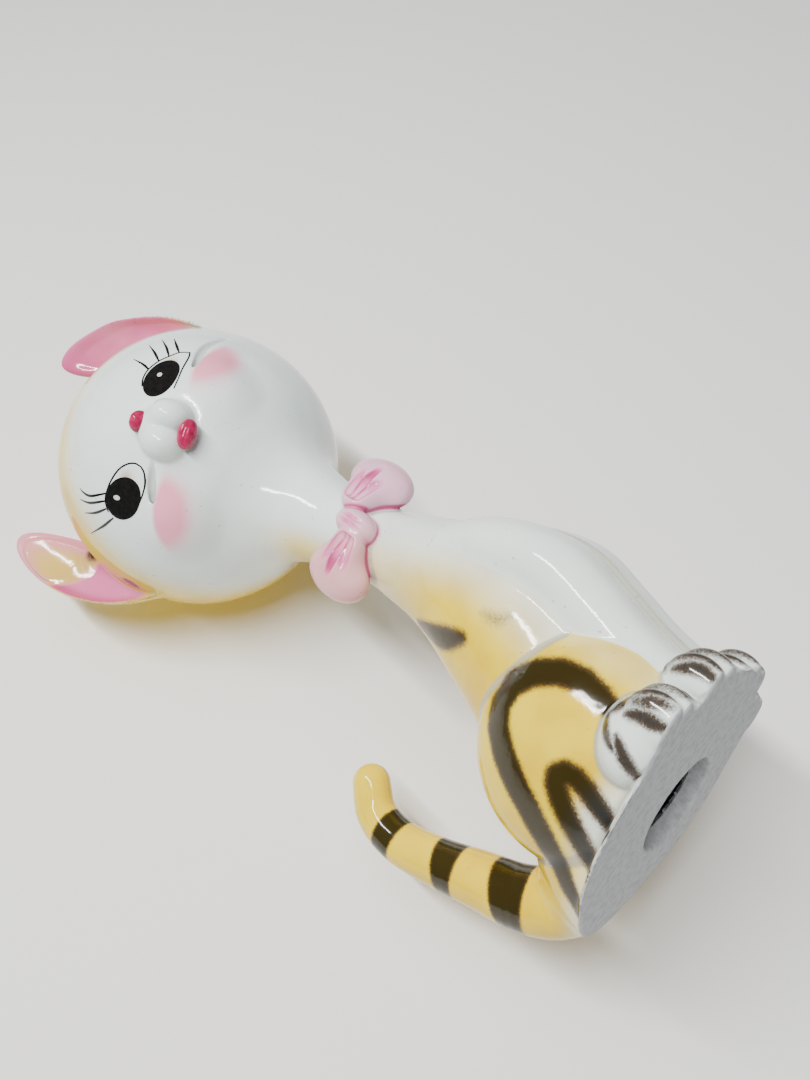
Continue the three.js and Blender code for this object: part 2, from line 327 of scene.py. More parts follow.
def creases(p):
    """Narrow creases pressed into the face, shallow at both ends."""
    distance = np.full(len(p), FAR)
    _, y, z = (p - HEAD_CENTRE).T
    near = np.flatnonzero((y < 0) & (z > CREASE_BAND[0]) & (z < CREASE_BAND[1]))
    for path in CREASE_PATHS:
        distance[near] = np.minimum(distance[near], smooth_rod(p[near], path, CREASE_SIZES, 16))
    return distance


def muzzle(p):
    """Two whisker pads under a short bridge that carries the nose."""
    pads = [
        ellipsoid(p, on_head(0.86, MUZZLE_SIDE + side * 0.085, -0.48), (5.2, 4.1, 4.9), HEAD_AXES)
        for side in (1, -1)
    ]
    bridge = ellipsoid(p, on_head(0.9, MUZZLE_SIDE, -0.37), (3.6, 3.3, 4.6), HEAD_AXES)
    return blend(blend(*pads, 0.8), bridge, 2.0)


# The ears: places on the arc from the crown down the side of the head, in head radii and radians
EAR_MIDDLE = math.radians(69)
EAR_HALF_ARC = math.radians(33)
EAR_TILT = math.radians(8)
EAR_SKEW = 0.62
EAR_TAPER = 0.6
EAR_ROOT = 0.86
EAR_HEIGHT = {1: 0.38, -1: 0.46}


def fold_line(across):
    """Where along the right ear its crown end folds over."""
    return -0.28 + 0.3 * across


def ear_place(p, side):
    """Where points lie on an ear: along it from crown to cheek, across it from root to rim, and
    forwards of its middle sheet in millimetres."""
    forward, left, up = ((p - HEAD_CENTRE) @ HEAD_AXES / HEAD_RADIUS).T
    reach = np.hypot(left, up)
    angle = side * (np.arctan2(left, up) + EAR_TILT)
    along = (angle - EAR_MIDDLE) / EAR_HALF_ARC
    for _ in range(3):
        outwards = (reach - EAR_ROOT) / (EAR_HEIGHT[side] * np.maximum(1 - EAR_TAPER * along, 0.25))
        outwards = np.clip(outwards, -0.5, 1.6)
        along = np.clip((angle - EAR_MIDDLE) / EAR_HALF_ARC + EAR_SKEW * outwards ** 2, -2, 2)
    across = outwards * 2 - 1
    dish = 0.05 * np.maximum(1 - along ** 2 - across ** 2, 0)
    middle = 0.14 + 0.3 * outwards * (1 - 0.5 * along) - dish
    return along, across, (forward - middle) * HEAD_RADIUS


def ear(side):
    """A thin flap with a rolled rim, its crown end folded over on the right ear."""
    def distance(p):
        along, across, forwards = ear_place(p, side)
        long_radius = EAR_HALF_ARC * HEAD_RADIUS * 1.05
        high_radius = EAR_HEIGHT[side] * HEAD_RADIUS / 2 * np.maximum(1 - EAR_TAPER * along, 0.4)
        far = np.hypot(along, across)
        near = np.hypot(along / long_radius, across / high_radius)
        rim = far * (far - 1) / np.maximum(near, 1e-9)
        thick = 1.15 + 0.75 * rise(-across, -0.2, 0.9)
        rolled = 0.55 * rise(rim, -3.4, -1.2) * rise(across, -0.4, 0.2)
        if side < 0:
            folded = rise(fold_line(across) - along, -0.05, 0.16) * rise(-rim, 0.5, 2.4)
            rolled = np.maximum(rolled, 1.5 * folded)
        else:
            rolled = rolled + 0.5 * np.exp(-((along + 0.1 - 0.25 * across) / 0.16) ** 2)
        sheet = np.abs(forwards - rolled / 2) - thick - rolled / 2
        edge = np.minimum(thick, 1.2)
        out = np.stack([np.maximum(rim + edge, 0), np.maximum(sheet + edge, 0)])
        return np.linalg.norm(out, axis=0) + np.minimum(np.maximum(rim, sheet) + edge, 0) - edge
    return distance


# The middle of each loop, along the ribbon, out of the neck and up, and the spread and reach of each pleat
BOW_LOOPS = {1: (9.6, 6.6, 4.6), -1: (-8.3, 7.4, -1.4)}
BOW_PLEATS = ((-0.9, 1.2), (0.0, 3.4), (0.85, 1.8))


def bow_loop(side):
    """A puffed loop of ribbon, narrow at the knot and gathered there into three pleats."""
    centre = on_bow(*BOW_LOOPS[side])
    axes = turned(BOW_TURN + side * BOW_SPLAY)

    def distance(p):
        local = (p - centre) @ axes * (side, 1, 1)
        puff = ellipsoid(local, np.array([1.9, 0, 0]), (5.6, 4.3, 8.0))
        gather = ellipsoid(local, np.array([-3.4, -0.4, 0]), (5.4, 3.4, 4.4))
        loop = blend(puff, gather, 2.6)
        for spread, reach in BOW_PLEATS:
            path = np.array([
                (-6.6, -3.0, 1.4 * spread),
                (-2.4, -4.0, 2.9 * spread),
                (reach, -4.9, 4.6 * spread),
            ])
            loop = carve(loop, tube(local, path, (1.15, 0.95, 0.3)), 0.7)
        return loop
    return distance


def bow_knot(p):
    """The wrap of ribbon over the middle, with two folds along it."""
    local = (p - on_bow(0, 9.8, 0)) @ BOW_AXES
    knot = ellipsoid(local, np.zeros(3), (3.3, 3.9, 5.5))
    for x in (-1.2, 1.1):
        path = np.array([(x, -3.4, -3.6), (x * 0.5, -4.2, 0), (x * 1.1, -3.2, 4.2)])
        knot = carve(knot, tube(local, path, (0.35, 0.75, 0.3)), 0.5)
    return knot


# Each form of the clay: the piece that it belongs to, its fillet against what came before, and its shape
FORMS = [
    ("column", 1.0, column),
    ("torso_shell", 1.2, foot),
    ("torso_shell", 1.5, chest),
    ("head_shell", 6.0, head_ball),
    ("head_shell", 1.4, cheek(1)),
    ("head_shell", 1.4, cheek(-1)),
    ("muzzle", 0.9, muzzle),
    ("left_ear", 2.2, ear(1)),
    ("right_ear", 2.2, ear(-1)),
    ("tail", 3.0, tail),
]
for word, sign in SIDES.items():
    FORMS += [
        (f"{word}_foreleg", 2.2, foreleg(sign)),
        (f"{word}_haunch", 0.9, haunch(sign)),
        (f"{word}_forepaw", 1.2, paw("forepaw", sign)),
        (f"{word}_hind_paw", 1.1, paw("hind_paw", sign)),
        (f"bow_{word}_loop", 1.0, bow_loop(sign)),
    ]
FORMS.append(("bow_knot", 0.7, bow_knot))

PIECES = sorted({name for name, _, _ in FORMS} - {"column"} | {"torso_shell"})
VENT_CENTRE = np.array([-2.0, 6.0])
VENT_RADIUS = 10.0
VENT_DEPTH = 3.4


def from_vent(points):
    """How far points lie from the vent hole's middle line."""
    return np.hypot(*(points[:, :2] - VENT_CENTRE).T)


def reach_of(name):
    """The box, in the figure's frame, outside which a form has no say."""
    if name == "column":
        low = np.minimum(torso_low, (head_low + head_high) / 2 - HEAD_RADIUS)
        return low - ORIGIN - MARGIN, np.array([FAR, FAR, COLUMN[-1, 0] + MARGIN])
    low, high = box_mm(name)
    return low - ORIGIN - MARGIN, high - ORIGIN + MARGIN


REACHES = {name: reach_of(name) for name, _, _ in FORMS}
SEAM_PENALTY = 4.0


def clay(points, owners=False):
    """The distance to the whole figure's skin, and with owners each piece's own distance."""
    field = np.full(len(points), FAR)
    own = {name: np.full(len(points), FAR) for name in PIECES} if owners else None
    for name, fillet, shape in FORMS:
        low, high = REACHES[name]
        near = np.flatnonzero(np.all((points > low) & (points < high), axis=1))
        if not len(near):
            continue
        value = shape(points[near])
        field[near] = blend(field[near], value, fillet)
        if owners:
            mine = {name: value}
            if name == "column":
                above = points[near, 2] - SEAM
                mine = {
                    "torso_shell": value + np.maximum(above, 0) * SEAM_PENALTY,
                    "head_shell": value + np.maximum(-above, 0) * SEAM_PENALTY,
                }
            for target, distance in mine.items():
                own[target][near] = np.minimum(own[target][near], distance)
    field = carve(field, creases(points), 0.8)
    field = carve(field, leg_crease(points), 0.7)
    field = carve(field, points[:, 2], 0.9)
    hole = np.maximum(from_vent(points) - VENT_RADIUS, points[:, 2] - VENT_DEPTH)
    field = carve(field, hole, 0.8)
    return (field, own) if owners else field


TETRAHEDRON = np.array([(1, -1, -1), (-1, -1, 1), (-1, 1, -1), (1, 1, 1)], float)
SLOPE_STEP = 0.05
LONGEST_MOVE = 0.6


def gradient(points, shape):
    """The direction in which a shape's distance grows, from the corners of a small tetrahedron."""
    total = sum(shape(points + SLOPE_STEP * corner)[:, None] * corner for corner in TETRAHEDRON)
    return total / (len(TETRAHEDRON) * SLOPE_STEP)


def settle(points, rounds=2, shape=clay):
    """Moves points on to the shape's skin and gives the skin's normals there."""
    for _ in range(rounds):
        slope = gradient(points, shape)
        shift = shape(points) / np.maximum((slope ** 2).sum(1), 0.05)
        points = points - np.clip(shift, -LONGEST_MOVE, LONGEST_MOVE)[:, None] * slope
    slope = gradient(points, shape)
    return points, slope / np.maximum(np.linalg.norm(slope, axis=1), 1e-9)[:, None]


# --- from the distance to a mesh ---

COARSE_CELLS = 4
NEAR_SKIN = 1.6  # in coarse cells
BATCH = 400000


def grid_points(low, index, step):
    """The places of grid indices, whole or fractional."""
    return low + index * step


def sampled_field(low, high, step):
    """The distance on a fine grid, worked out only in the coarse cells that the skin passes near."""
    coarse_step = step * COARSE_CELLS
    cells = np.ceil((high - low) / coarse_step).astype(int)
    corners = np.stack(np.meshgrid(*[np.arange(n + 1) for n in cells], indexing="ij"), -1)
    coarse = clay(grid_points(low, corners.reshape(-1, 3), coarse_step)).reshape(cells + 1)
    near = np.abs(coarse) < coarse_step * NEAR_SKIN
    active = np.zeros(cells, bool)
    for corner in np.ndindex(2, 2, 2):
        part = tuple(slice(c, c + n) for c, n in zip(corner, cells))
        active |= near[part]
    block = np.ones((COARSE_CELLS,) * 3, bool)
    inside = np.kron(coarse[:-1, :-1, :-1] < 0, block)
    fine = np.where(inside, -step, step).astype(np.float32)
    index = np.argwhere(np.kron(active, block))
    values = np.empty(len(index), np.float32)
    for start in range(0, len(index), BATCH):
        part = slice(start, start + BATCH)
        values[part] = clay(grid_points(low, index[part], step))
    fine[tuple(index.T)] = values
    return fine


def net_of(fine, low, step):
    """Surface nets: a vertex in each cell that the skin crosses, and a four-sided face on each such edge."""
    inside = fine < 0
    cells, crossings = [], []
    axes = np.eye(3, dtype=int)
    for axis in range(3):
        first = np.moveaxis(inside, axis, 0)
        changed = np.moveaxis(first[:-1] != first[1:], 0, axis)
        edges = np.argwhere(changed)
        ahead, u, v = axes[axis], axes[(axis + 1) % 3], axes[(axis + 2) % 3]
        start, end = fine[tuple(edges.T)], fine[tuple((edges + ahead).T)]
        crossing = edges + (start / (start - end))[:, None] * ahead
        ring = np.stack([edges - u - v, edges - v, edges, edges - u], 1)
        ring[start >= 0] = ring[start >= 0][:, ::-1]
        cells.append(np.ravel_multi_index(tuple(ring.reshape(-1, 3).T), fine.shape))
        crossings.append(np.repeat(crossing, 4, axis=0))
    _, index = np.unique(np.concatenate(cells), return_inverse=True)
    crossings = np.concatenate(crossings)
    count = np.bincount(index)
    points = np.stack([np.bincount(index, crossings[:, k]) / count for k in range(3)], 1)
    return grid_points(low, points, step), index.reshape(-1, 4)


def edges_of(faces):
    """The four edges of every face: first all the first edges, then all the second ones, and so on."""
    return np.concatenate([np.stack([faces[:, k], faces[:, (k + 1) % 4]], 1) for k in range(4)])


def both_ways(edges):
    return np.concatenate([edges, edges[:, ::-1]])


def shared_edges(faces):
    """The edges that two faces share, and the two faces of each."""
    edges = np.sort(edges_of(faces), axis=1)
    face = np.tile(np.arange(len(faces)), 4)
    key = edges[:, 0].astype(np.int64) * (faces.max() + 1) + edges[:, 1]
    order = np.argsort(key, kind="stable")
    edges, key, face = edges[order], key[order], face[order]
    same = np.flatnonzero(key[1:] == key[:-1])
    return edges[same], face[same], face[same + 1]


def neighbour_mean(points, pairs):
    """The middle of each point's neighbours, and how many pairs they come from."""
    count = np.bincount(pairs[:, 0], minlength=len(points))
    total = [np.bincount(pairs[:, 0], points[pairs[:, 1], k], minlength=len(points)) for k in range(3)]
    return np.stack(total, 1) / np.maximum(count, 1)[:, None], count


INNER_SEAM_PAIRS = 4


def relaxed(points, faces, normals, seam_pairs, rounds):
    """Evens out the net along the skin. Vertices on seams slide along their seam only."""
    on_seam = np.zeros(len(points), bool)
    on_seam[seam_pairs[:, 0]] = True
    pairs = both_ways(edges_of(faces))
    for _ in range(rounds):
        mean, _ = neighbour_mean(points, pairs)
        seam_mean, seam_count = neighbour_mean(points, seam_pairs)
        along_seam = np.where((seam_count >= INNER_SEAM_PAIRS)[:, None], seam_mean - points, 0)
        move = np.where(on_seam[:, None], along_seam, mean - points) / 2
        move -= (move * normals).sum(1)[:, None] * normals
        points = points + move
    return points


def owner_of_faces(points, faces):
    """Which piece each face belongs to, as an index into PIECES, or -1 on the lid over the vent."""
    middle = points[faces].mean(1)
    _, own = clay(middle, owners=True)
    owner = np.argmin(np.stack([own[name] for name in PIECES]), axis=0)
    over_vent = from_vent(middle) < VENT_RADIUS - 0.3
    owner[over_vent & (middle[:, 2] > VENT_DEPTH - 0.7) & (middle[:, 2] < VENT_DEPTH + 1)] = -1
    return owner


def smoothed_owner(owner, faces, rounds=3):
    """Gives a face the piece that most of its neighbours belong to, so that seams have no stray faces."""
    _, a, b = shared_edges(faces)
    for _ in range(rounds):
        votes = np.zeros((len(faces), len(PIECES) + 1), np.int8)
        np.add.at(votes, (a, owner[b]), 1)
        np.add.at(votes, (b, owner[a]), 1)
        votes[np.arange(len(faces)), owner] += 1
        best = np.argmax(votes, axis=1)
        best = np.where(best == len(PIECES), -1, best)
        owner = np.where(votes.max(1) >= 3, best, owner)
    return owner


def seams_of(faces, owner):
    """The edges between faces of different pieces, in both directions, each given twice."""
    edges, a, b = shared_edges(faces)
    return both_ways(np.repeat(edges[owner[a] != owner[b]], 2, axis=0))


_skin = {}


def skin():
    """The whole figure's skin as points, normals, faces and the owner of each face. Worked out once."""
    if not _skin:
        settings = bpy.context.scene.kitten_shape
        step = settings.grain / MM * 1.0
        low = np.minimum(torso_low, head_low) - ORIGIN
        high = np.maximum(torso_high, head_high) - ORIGIN
        for name in PIECES:
            low = np.minimum(low, REACHES[name][0] + MARGIN)
            high = np.maximum(high, REACHES[name][1] - MARGIN)
        low, high = low - COARSE_CELLS * step, high + COARSE_CELLS * step
        points, faces = net_of(sampled_field(low, high, step), low, step)
        points, normals = settle(points, 1)
        owner = smoothed_owner(owner_of_faces(points, faces), faces)
        seams = seams_of(faces, owner)
        for _ in range(2):
            points = relaxed(points, faces, normals, seams, 4)
            points, normals = settle(points, 1)
        _skin.update(points=points, normals=normals, faces=faces, owner=owner)
    return _skin


def patch_of(name):
    """The part of the skin that belongs to one piece: points, normals and faces."""
    whole = skin()
    faces = whole["faces"][whole["owner"] == PIECES.index(name)]
    used, index = np.unique(faces, return_inverse=True)
    return whole["points"][used], whole["normals"][used], index.reshape(-1, 4)


def refined(points, faces):
    """Splits every face in four, and puts the new points on the skin."""
    unique, index = np.unique(np.sort(edges_of(faces), axis=1), axis=0, return_inverse=True)
    index = index.reshape(4, -1).T + len(points)
    centre = np.arange(len(faces)) + len(points) + len(unique)
    every = np.concatenate([points, points[unique].mean(1), points[faces].mean(1)])
    new_faces = np.concatenate([
        np.stack([faces[:, k], index[:, k], centre, index[:, (k + 3) % 4]], 1) for k in range(4)
    ])
    return every, new_faces


def thickened(points, normals, faces, wall):
    """Closes a patch into a solid: the skin, the same faces a wall's thickness inside it, and the rim."""
    count = len(points)
    inner = points - normals * wall
    edges = edges_of(faces)
    key = edges[:, 0].astype(np.int64) * count + edges[:, 1]
    back = edges[:, 1].astype(np.int64) * count + edges[:, 0]
    rim = edges[~np.isin(key, back)]
    walls = np.stack([rim[:, 1], rim[:, 0], rim[:, 0] + count, rim[:, 1] + count], 1)
    every = np.concatenate([points, inner])
    return every, np.concatenate([normals, -normals]), np.concatenate([faces, faces[:, ::-1] + count, walls])


# --- airbrushed colour: a share from 0 to 1 at every point of a patch ---


def stroke(points, knots, width, soft, steps=14):
    """A brush stroke through knots, with that half width and softness of edge."""
    knots = np.asarray(knots, float)
    at = np.linspace(0, len(knots) - 1, steps + 1)
    path = through(range(len(knots)), knots, at)
    taper = np.sin(np.linspace(0.25, math.pi - 0.25, steps + 1)) ** 0.5
    return 1 - rise(tube(points, path, width * taper), -soft, soft)


def stripes(points):
    """Brown-black stripes, in the figure's frame; the left side's mirror the right side's."""
    dark = np.zeros(len(points))
    here = np.abs(points[:, 1]) > 1.0
    flat = points[here] * (1, 0, 1)
    for knots, width, soft in SIDE_STROKES:
        flat_knots = [(x, 0, z) for x, z in knots]
        dark[here] = np.maximum(dark[here], stroke(flat, flat_knots, width, soft))
    return dark


# Strokes on each flank as (forwards, up) points, half width and softness
SIDE_STROKES = [
    (((12, 9), (13.5, 14), (13.6, 19), (11.5, 24), (7.5, 28), (2.5, 29), (-1.5, 27), (-5, 22.5), (-8, 17.5),
      (-11, 12.5), (-14.5, 8.5), (-18, 5), (-21.5, 0)), 2.6, 1.8),
    (((-4.6, 0), (-2.6, 3.4), (-0.4, 7.5), (0.2, 11), (-1.6, 12.6), (-3.8, 11), (-6.2, 8.4), (-8.8, 5.2),
      (-11.6, 1.8), (-13, -1)), 2.0, 2.1),
]
# Smudges on each flank as points, half width, softness and how dark they get
FLANK_SMUDGES = [
    (((1.0, -8.5, 57), (2.2, -11, 51.5), (3.6, -13, 48), (6.0, -14.8, 44)), 2.4, 2.4, 0.95),
    (((12.5, -15.5, 42.5), (13.0, -15.5, 39.0), (15.0, -15, 36.5)), 1.8, 3.0, 0.42),
]
# Strokes beside the toes of a right paw as points, half width and softness, and how dark paws get
PAW_STROKES = {
    "hind_paw": [
        (((10.6, -25, 6.4), (9, -25.4, 4.6), (7.4, -24.6, 2.4), (6.2, -23, 0)), 1.3, 1.5),
        (((13.2, -21, 12), (11.4, -22.8, 10.2), (9.6, -24.2, 8.4), (8.4, -25, 6.2)), 1.1, 1.5),
        (((14.4, -24.6, 7), (15.6, -25.6, 4.6), (15.8, -25.6, 2.4), (16, -25, 0.4)), 1.4, 1.6),
        (((15.6, -23.4, 8), (18, -24.6, 4.6), (19, -24.2, 1.6)), 1.4, 1.6),
    ],
    "forepaw": [
        (((22.6, -14.6, 7), (24.8, -15, 3.6), (24.6, -14.6, 0.6)), 1.4, 1.6),
        (((24, -12.6, 7), (26.2, -13, 3.2), (26.4, -12.4, 0.4)), 1.3, 1.6),
    ],
}
PAW_INK = 0.76
# Bands on the tail as (distance from the root, half width)
TAIL_BANDS = [(16.5, 3.4), (31.5, 2.3), (47.0, 2.2)]


def along_tail(points):
    """How far along the tail's line each point lies from its root, and how far up its near side."""
    path = through(range(len(TAIL_LINE)), TAIL_LINE, np.linspace(0, len(TAIL_LINE) - 1, 60))
    flat = points[:, ::2]
    best, s, lift, so_far = np.full(len(points), FAR), np.zeros(len(points)), np.zeros(len(points)), 0.0
    for start, end in zip(path[:-1, ::2], path[1:, ::2]):
        ahead = end - start
        length = np.linalg.norm(ahead)
        share = np.clip((flat - start) @ ahead / length ** 2, 0, 1)
        gap = np.linalg.norm(flat - start - share[:, None] * ahead, axis=1)
        side = (flat - start) @ np.array([ahead[1], -ahead[0]]) / length
        closer = gap < best
        best = np.where(closer, gap, best)
        s = np.where(closer, so_far + share * length, s)
        lift = np.where(closer, side, lift)
        so_far += length
    return s, lift


def tail_bands(points):
    """Soft dark bands, broader on the side that faces the body."""
    s, lift = along_tail(points)
    dark = np.zeros(len(points))
    for middle, half in TAIL_BANDS:
        reach = half * (1 + 0.07 * np.clip(lift, -5, 5))
        dark = np.maximum(dark, 1 - rise(np.abs(s - middle - 0.12 * lift) - reach, -1.1, 1.3))
    return dark


def toe_strokes(points, kind, side):
    """A dark stroke over each toe, from its tip back over the paw."""
    at, body, toe = PAWS[kind]
    tip = at[0] + body[0] * 0.7 + toe[0]
    dark = np.zeros(len(points))
    for step in TOES:
        y = side * at[1] + step * toe[1] * TOE_SPREAD
        back = [(0, 0, 1.5), (1.8, 0, 5.6), (5, 0.5, 7.6), (8.5, 1, 9.5)]
        knots = [(tip - x, y - step * inwards, z) for x, inwards, z in back]
        dark = np.maximum(dark, stroke(points, knots, toe[1] * 0.75, 1.7, 8))
    return dark


LIMBS = ["torso_shell"] + [f"{word}_{limb}" for word in SIDES for limb in ("haunch", "hind_paw", "forepaw")]
# How far off the skin the hollow test reaches, for the pooled glaze and painted shade of hollows
POOL_AND_SHADE_DEPTH = 1.2
HEAD_PIECES = ("head_shell", "muzzle", "left_ear", "right_ear")


def paint_of(name, points, normals):
    """Every mask of a glazed piece, by name. The pool mask is pooled glaze and painted shade together: darker
    colour in hollows, between limbs and in creases.
    """
    _, own = clay(points, owners=True)
    # Pooled glaze with painted shade: hollows, the joints between limbs and the creases (the forelegs' line
    # and the face's creases) are darkened in colour
    hollow = 1 - clay(points + normals * POOL_AND_SHADE_DEPTH) / POOL_AND_SHADE_DEPTH
    second_nearest = np.sort(np.stack([own[limb] for limb in LIMBS]), axis=0)[1]
    joint_shade = 0.85 * (1 - rise(second_nearest, 0.3, 1.1))
    cut = np.maximum(1 - rise(leg_crease(points), 0.1, 0.9), 0.6 * (1 - rise(creases(points), 0.0, 0.35)))
    masks = {
        "glaze_pool_and_shade": np.maximum(np.clip(hollow, 0, 1), np.maximum(joint_shade, cut)),
        "bare": np.maximum(1 - rise(points[:, 2], 0.15, 0.75), hole_wall(points)),
        "yellow": yellow_of(name, points),
        "dark": dark_of(name, points, own),
    }
    for later in ("rose", "pink", "deep_pink_and_shade", "tan"):
        masks[later] = np.zeros(len(points))
    if name in HEAD_PIECES:
        paint_head(points, masks)
    paint_ears(points, own, masks)
    paint_bow(points, own, masks)
    return masks


def hole_wall(points):
    """1 on the bare wall of the vent hole."""
    beside = 1 - rise(from_vent(points), VENT_RADIUS + 0.3, VENT_RADIUS + 1)
    return beside * (points[:, 2] < VENT_DEPTH + 1)


def yellow_of(name, points):
    """The airbrushed yellow: full on the back, thin on the chest, legs, face and foot."""
    x, z = points[:, 0], points[:, 2]
    middle, depth, _ = through(COLUMN[:, 0], COLUMN[:, 1:], z).T
    if name == "tail":
        return 1 - 0.45 * (1 - rise(z, 1, 9))
    if name.endswith("haunch"):
        top = 0.35 + 0.65 * rise(z, 1.5, 11)
        return top * (1 - 0.4 * rise(x, 11, 19)) * (1 - 0.6 * soft_spot(points * (1, 0, 1), (-4.5, 0, 3), 6))
    if name.endswith("paw") or name.endswith("foreleg"):
        return 0.12 + 0.25 * rise(middle - x, -6, 4)
    if name in HEAD_PIECES:
        direction = (points - HEAD_CENTRE) @ HEAD_AXES
        direction /= np.linalg.norm(direction, axis=1)[:, None]
        facing = direction @ np.array([0.62, 0.28, -0.80])
        ball = 1 - rise(facing, -0.12, 0.56)
        neck = 0.6 * rise(middle - x, -1, 7)
        share = rise(z, SEAM + 14, SEAM + 30)
        return ball * share + neck * (1 - share)
    strength = 0.45 + 0.55 * (1 - rise(z, 42, 72))
    back = 0.25 + 0.75 * rise((middle - x) / depth, -0.75, 0.4)
    return back * strength * (0.45 + 0.55 * rise(z, 1, 9))


def dark_of(name, points, own):
    """The brown-black stripes, bands and strokes."""
    if name == "tail":
        return np.maximum(tail_bands(points), stripes(points) * (points[:, 0] > -24))
    striped = name in ("torso_shell", "left_haunch", "right_haunch")
    dark = stripes(points) if striped else np.zeros(len(points))
    if name == "torso_shell":
        for knots, width, soft, share in FLANK_SMUDGES:
            for side in SIDES.values():
                dark = np.maximum(dark, share * stroke(points * (1, side, 1), knots, width, soft))
        dark = np.maximum(dark, tail_bands(points) * (1 - rise(own["tail"], 0.5, 2.5)))
    if name.endswith("paw"):
        word, kind = name.split("_", 1)
        dark = toe_strokes(points, kind, SIDES[word])
        for knots, width, soft in PAW_STROKES[kind]:
            dark = np.maximum(dark, stroke(points * (1, -SIDES[word], 1), knots, width, soft, 8))
        dark = PAW_INK * dark
    return dark


def soft_spot(points, centre, size):
    """1 at the centre of a round spot, fading out over its size."""
    return np.exp(-(np.linalg.norm(points - centre, axis=1) / size) ** 2)


# Soft spots of each mask on the face, as a place in head radii and a size in millimetres
FACE_SPOTS = {
    "rose": [
        ((0.70, 0.56, -0.45), 6.6),
        ((0.60, 0.70, -0.42), 6.0),
        ((0.80, -0.34, -0.53), 6.0),
        ((0.73, -0.50, -0.53), 6.2),
    ],
    "tan": [((0.80, 0.56, -0.25), 1.5), ((0.92, -0.26, -0.30), 1.6)],
    "dark": [((0.34, -0.82, 0.50), 2.4), ((0.36, -0.96, 0.0), 2.2)],
}


def paint_head(points, masks):
    """Rose blush on the cheeks, tan corners of the eyes and brown spots by the right ear."""
    _, left, up = ((points - HEAD_CENTRE) @ HEAD_AXES / HEAD_RADIUS).T
    crease = -0.48 + 0.34 * np.maximum(left - 0.34, 0)
    below = 1 - rise(up - crease, -0.07, 0.012)
    total = {
        mask: sum(soft_spot(points, on_head(*place), size) for place, size in spots)
        for mask, spots in FACE_SPOTS.items()
    }
    masks["rose"] = np.clip(total["rose"] * 1.1 * below, 0, 1)
    masks["tan"] = np.clip(total["tan"], 0, 1) * 0.8
    masks["dark"] = np.maximum(masks["dark"], np.clip(total["dark"] * 1.2, 0, 1))


EAR_PAINT_REACH = 3.0


def paint_ears(points, own, masks):
    """Pink hollows, and on the right ear a tan fold with a pink rim."""
    for word, side in SIDES.items():
        name = f"{word}_ear"
        near = np.flatnonzero(own[name] < EAR_PAINT_REACH)
        if not len(near):
            continue
        along, across, forwards = ear_place(points[near], side)
        facing = rise(forwards, -0.4, 0.5)
        rim = np.hypot(along, across)
        on_flap = rise(across, -0.75, -0.45) * (1 - rise(along, 0.5, 0.85))
        on_flap = on_flap * (1 - rise(own[name][near], 0.2, 1.2))
        if side > 0:
            masks["pink"][near] = on_flap * facing
            bands = 0.5 + 0.5 * np.sin(along * 9)
            masks["deep_pink_and_shade"][near] = on_flap * (0.25 + 0.2 * bands + 0.4 * rise(-along, 0.5, 0.9))
        else:
            fold = rise(fold_line(across) - along, -0.04, 0.06)
            lower_rim = rise(rim, 0.86, 0.94) * rise(along, -0.5, -0.2)
            inner = on_flap * (1 - fold) * (1 - lower_rim)
            masks["pink"][near] = facing * np.maximum(inner, 0.75 * fold * rise(rim, 0.6, 0.95))
            masks["deep_pink_and_shade"][near] = inner * (0.35 + 0.4 * rise(rim, 0.3, 0.8))
            masks["tan"][near] = np.maximum(masks["tan"][near], 0.55 * fold * facing * on_flap)


def paint_bow(points, own, masks):
    """Pink ribbon, stronger and deeper in its folds, as pooled glaze and painted shade."""
    ribbon = np.minimum(np.minimum(own["bow_left_loop"], own["bow_right_loop"]), own["bow_knot"])
    share = 1 - rise(ribbon, 0.1, 0.7)
    # Pooled glaze with painted shade: the ribbon's pink grows stronger and deeper in its folds, from the
    # hollow and crease mask
    masks["pink"] = np.maximum(masks["pink"], share * (0.62 + 0.38 * rise(masks["glaze_pool_and_shade"], 0.1, 0.4)))
    masks["deep_pink_and_shade"] = np.maximum(masks["deep_pink_and_shade"], share * rise(masks["glaze_pool_and_shade"], 0.15, 0.7))
    masks["glaze_pool_and_shade"] = masks["glaze_pool_and_shade"] * (1 - share)


# --- the shader: node maths written as Python expressions ---


class Socket:
    """One output of a node tree, with Python's arithmetic."""

    def __init__(self, sheet, socket):
        self.sheet = sheet
        self.socket = socket

    def maths(self, operation, *values, clamp=False):
        inputs = dict(enumerate(values))
        return self.sheet.node("ShaderNodeMath", {"operation": operation, "use_clamp": clamp}, inputs)[0]

    def __add__(self, other):
        return self.maths("ADD", self, other)

    def __sub__(self, other):
        return self.maths("SUBTRACT", self, other)

    def __rsub__(self, other):
        return self.maths("SUBTRACT", other, self)

    def __mul__(self, other):
        return self.maths("MULTIPLY", self, other)

    __radd__ = __add__
    __rmul__ = __mul__

    def at_most_one(self):
        return self.maths("ADD", self, 0.0, clamp=True)

    def rise(self, low, high):
        """0 up to low, 1 from high on, and smooth between them."""
        inputs = {"Value": self, "From Min": low, "From Max": high}
        return self.sheet.node("ShaderNodeMapRange", {"interpolation_type": "SMOOTHSTEP"}, inputs)[0]


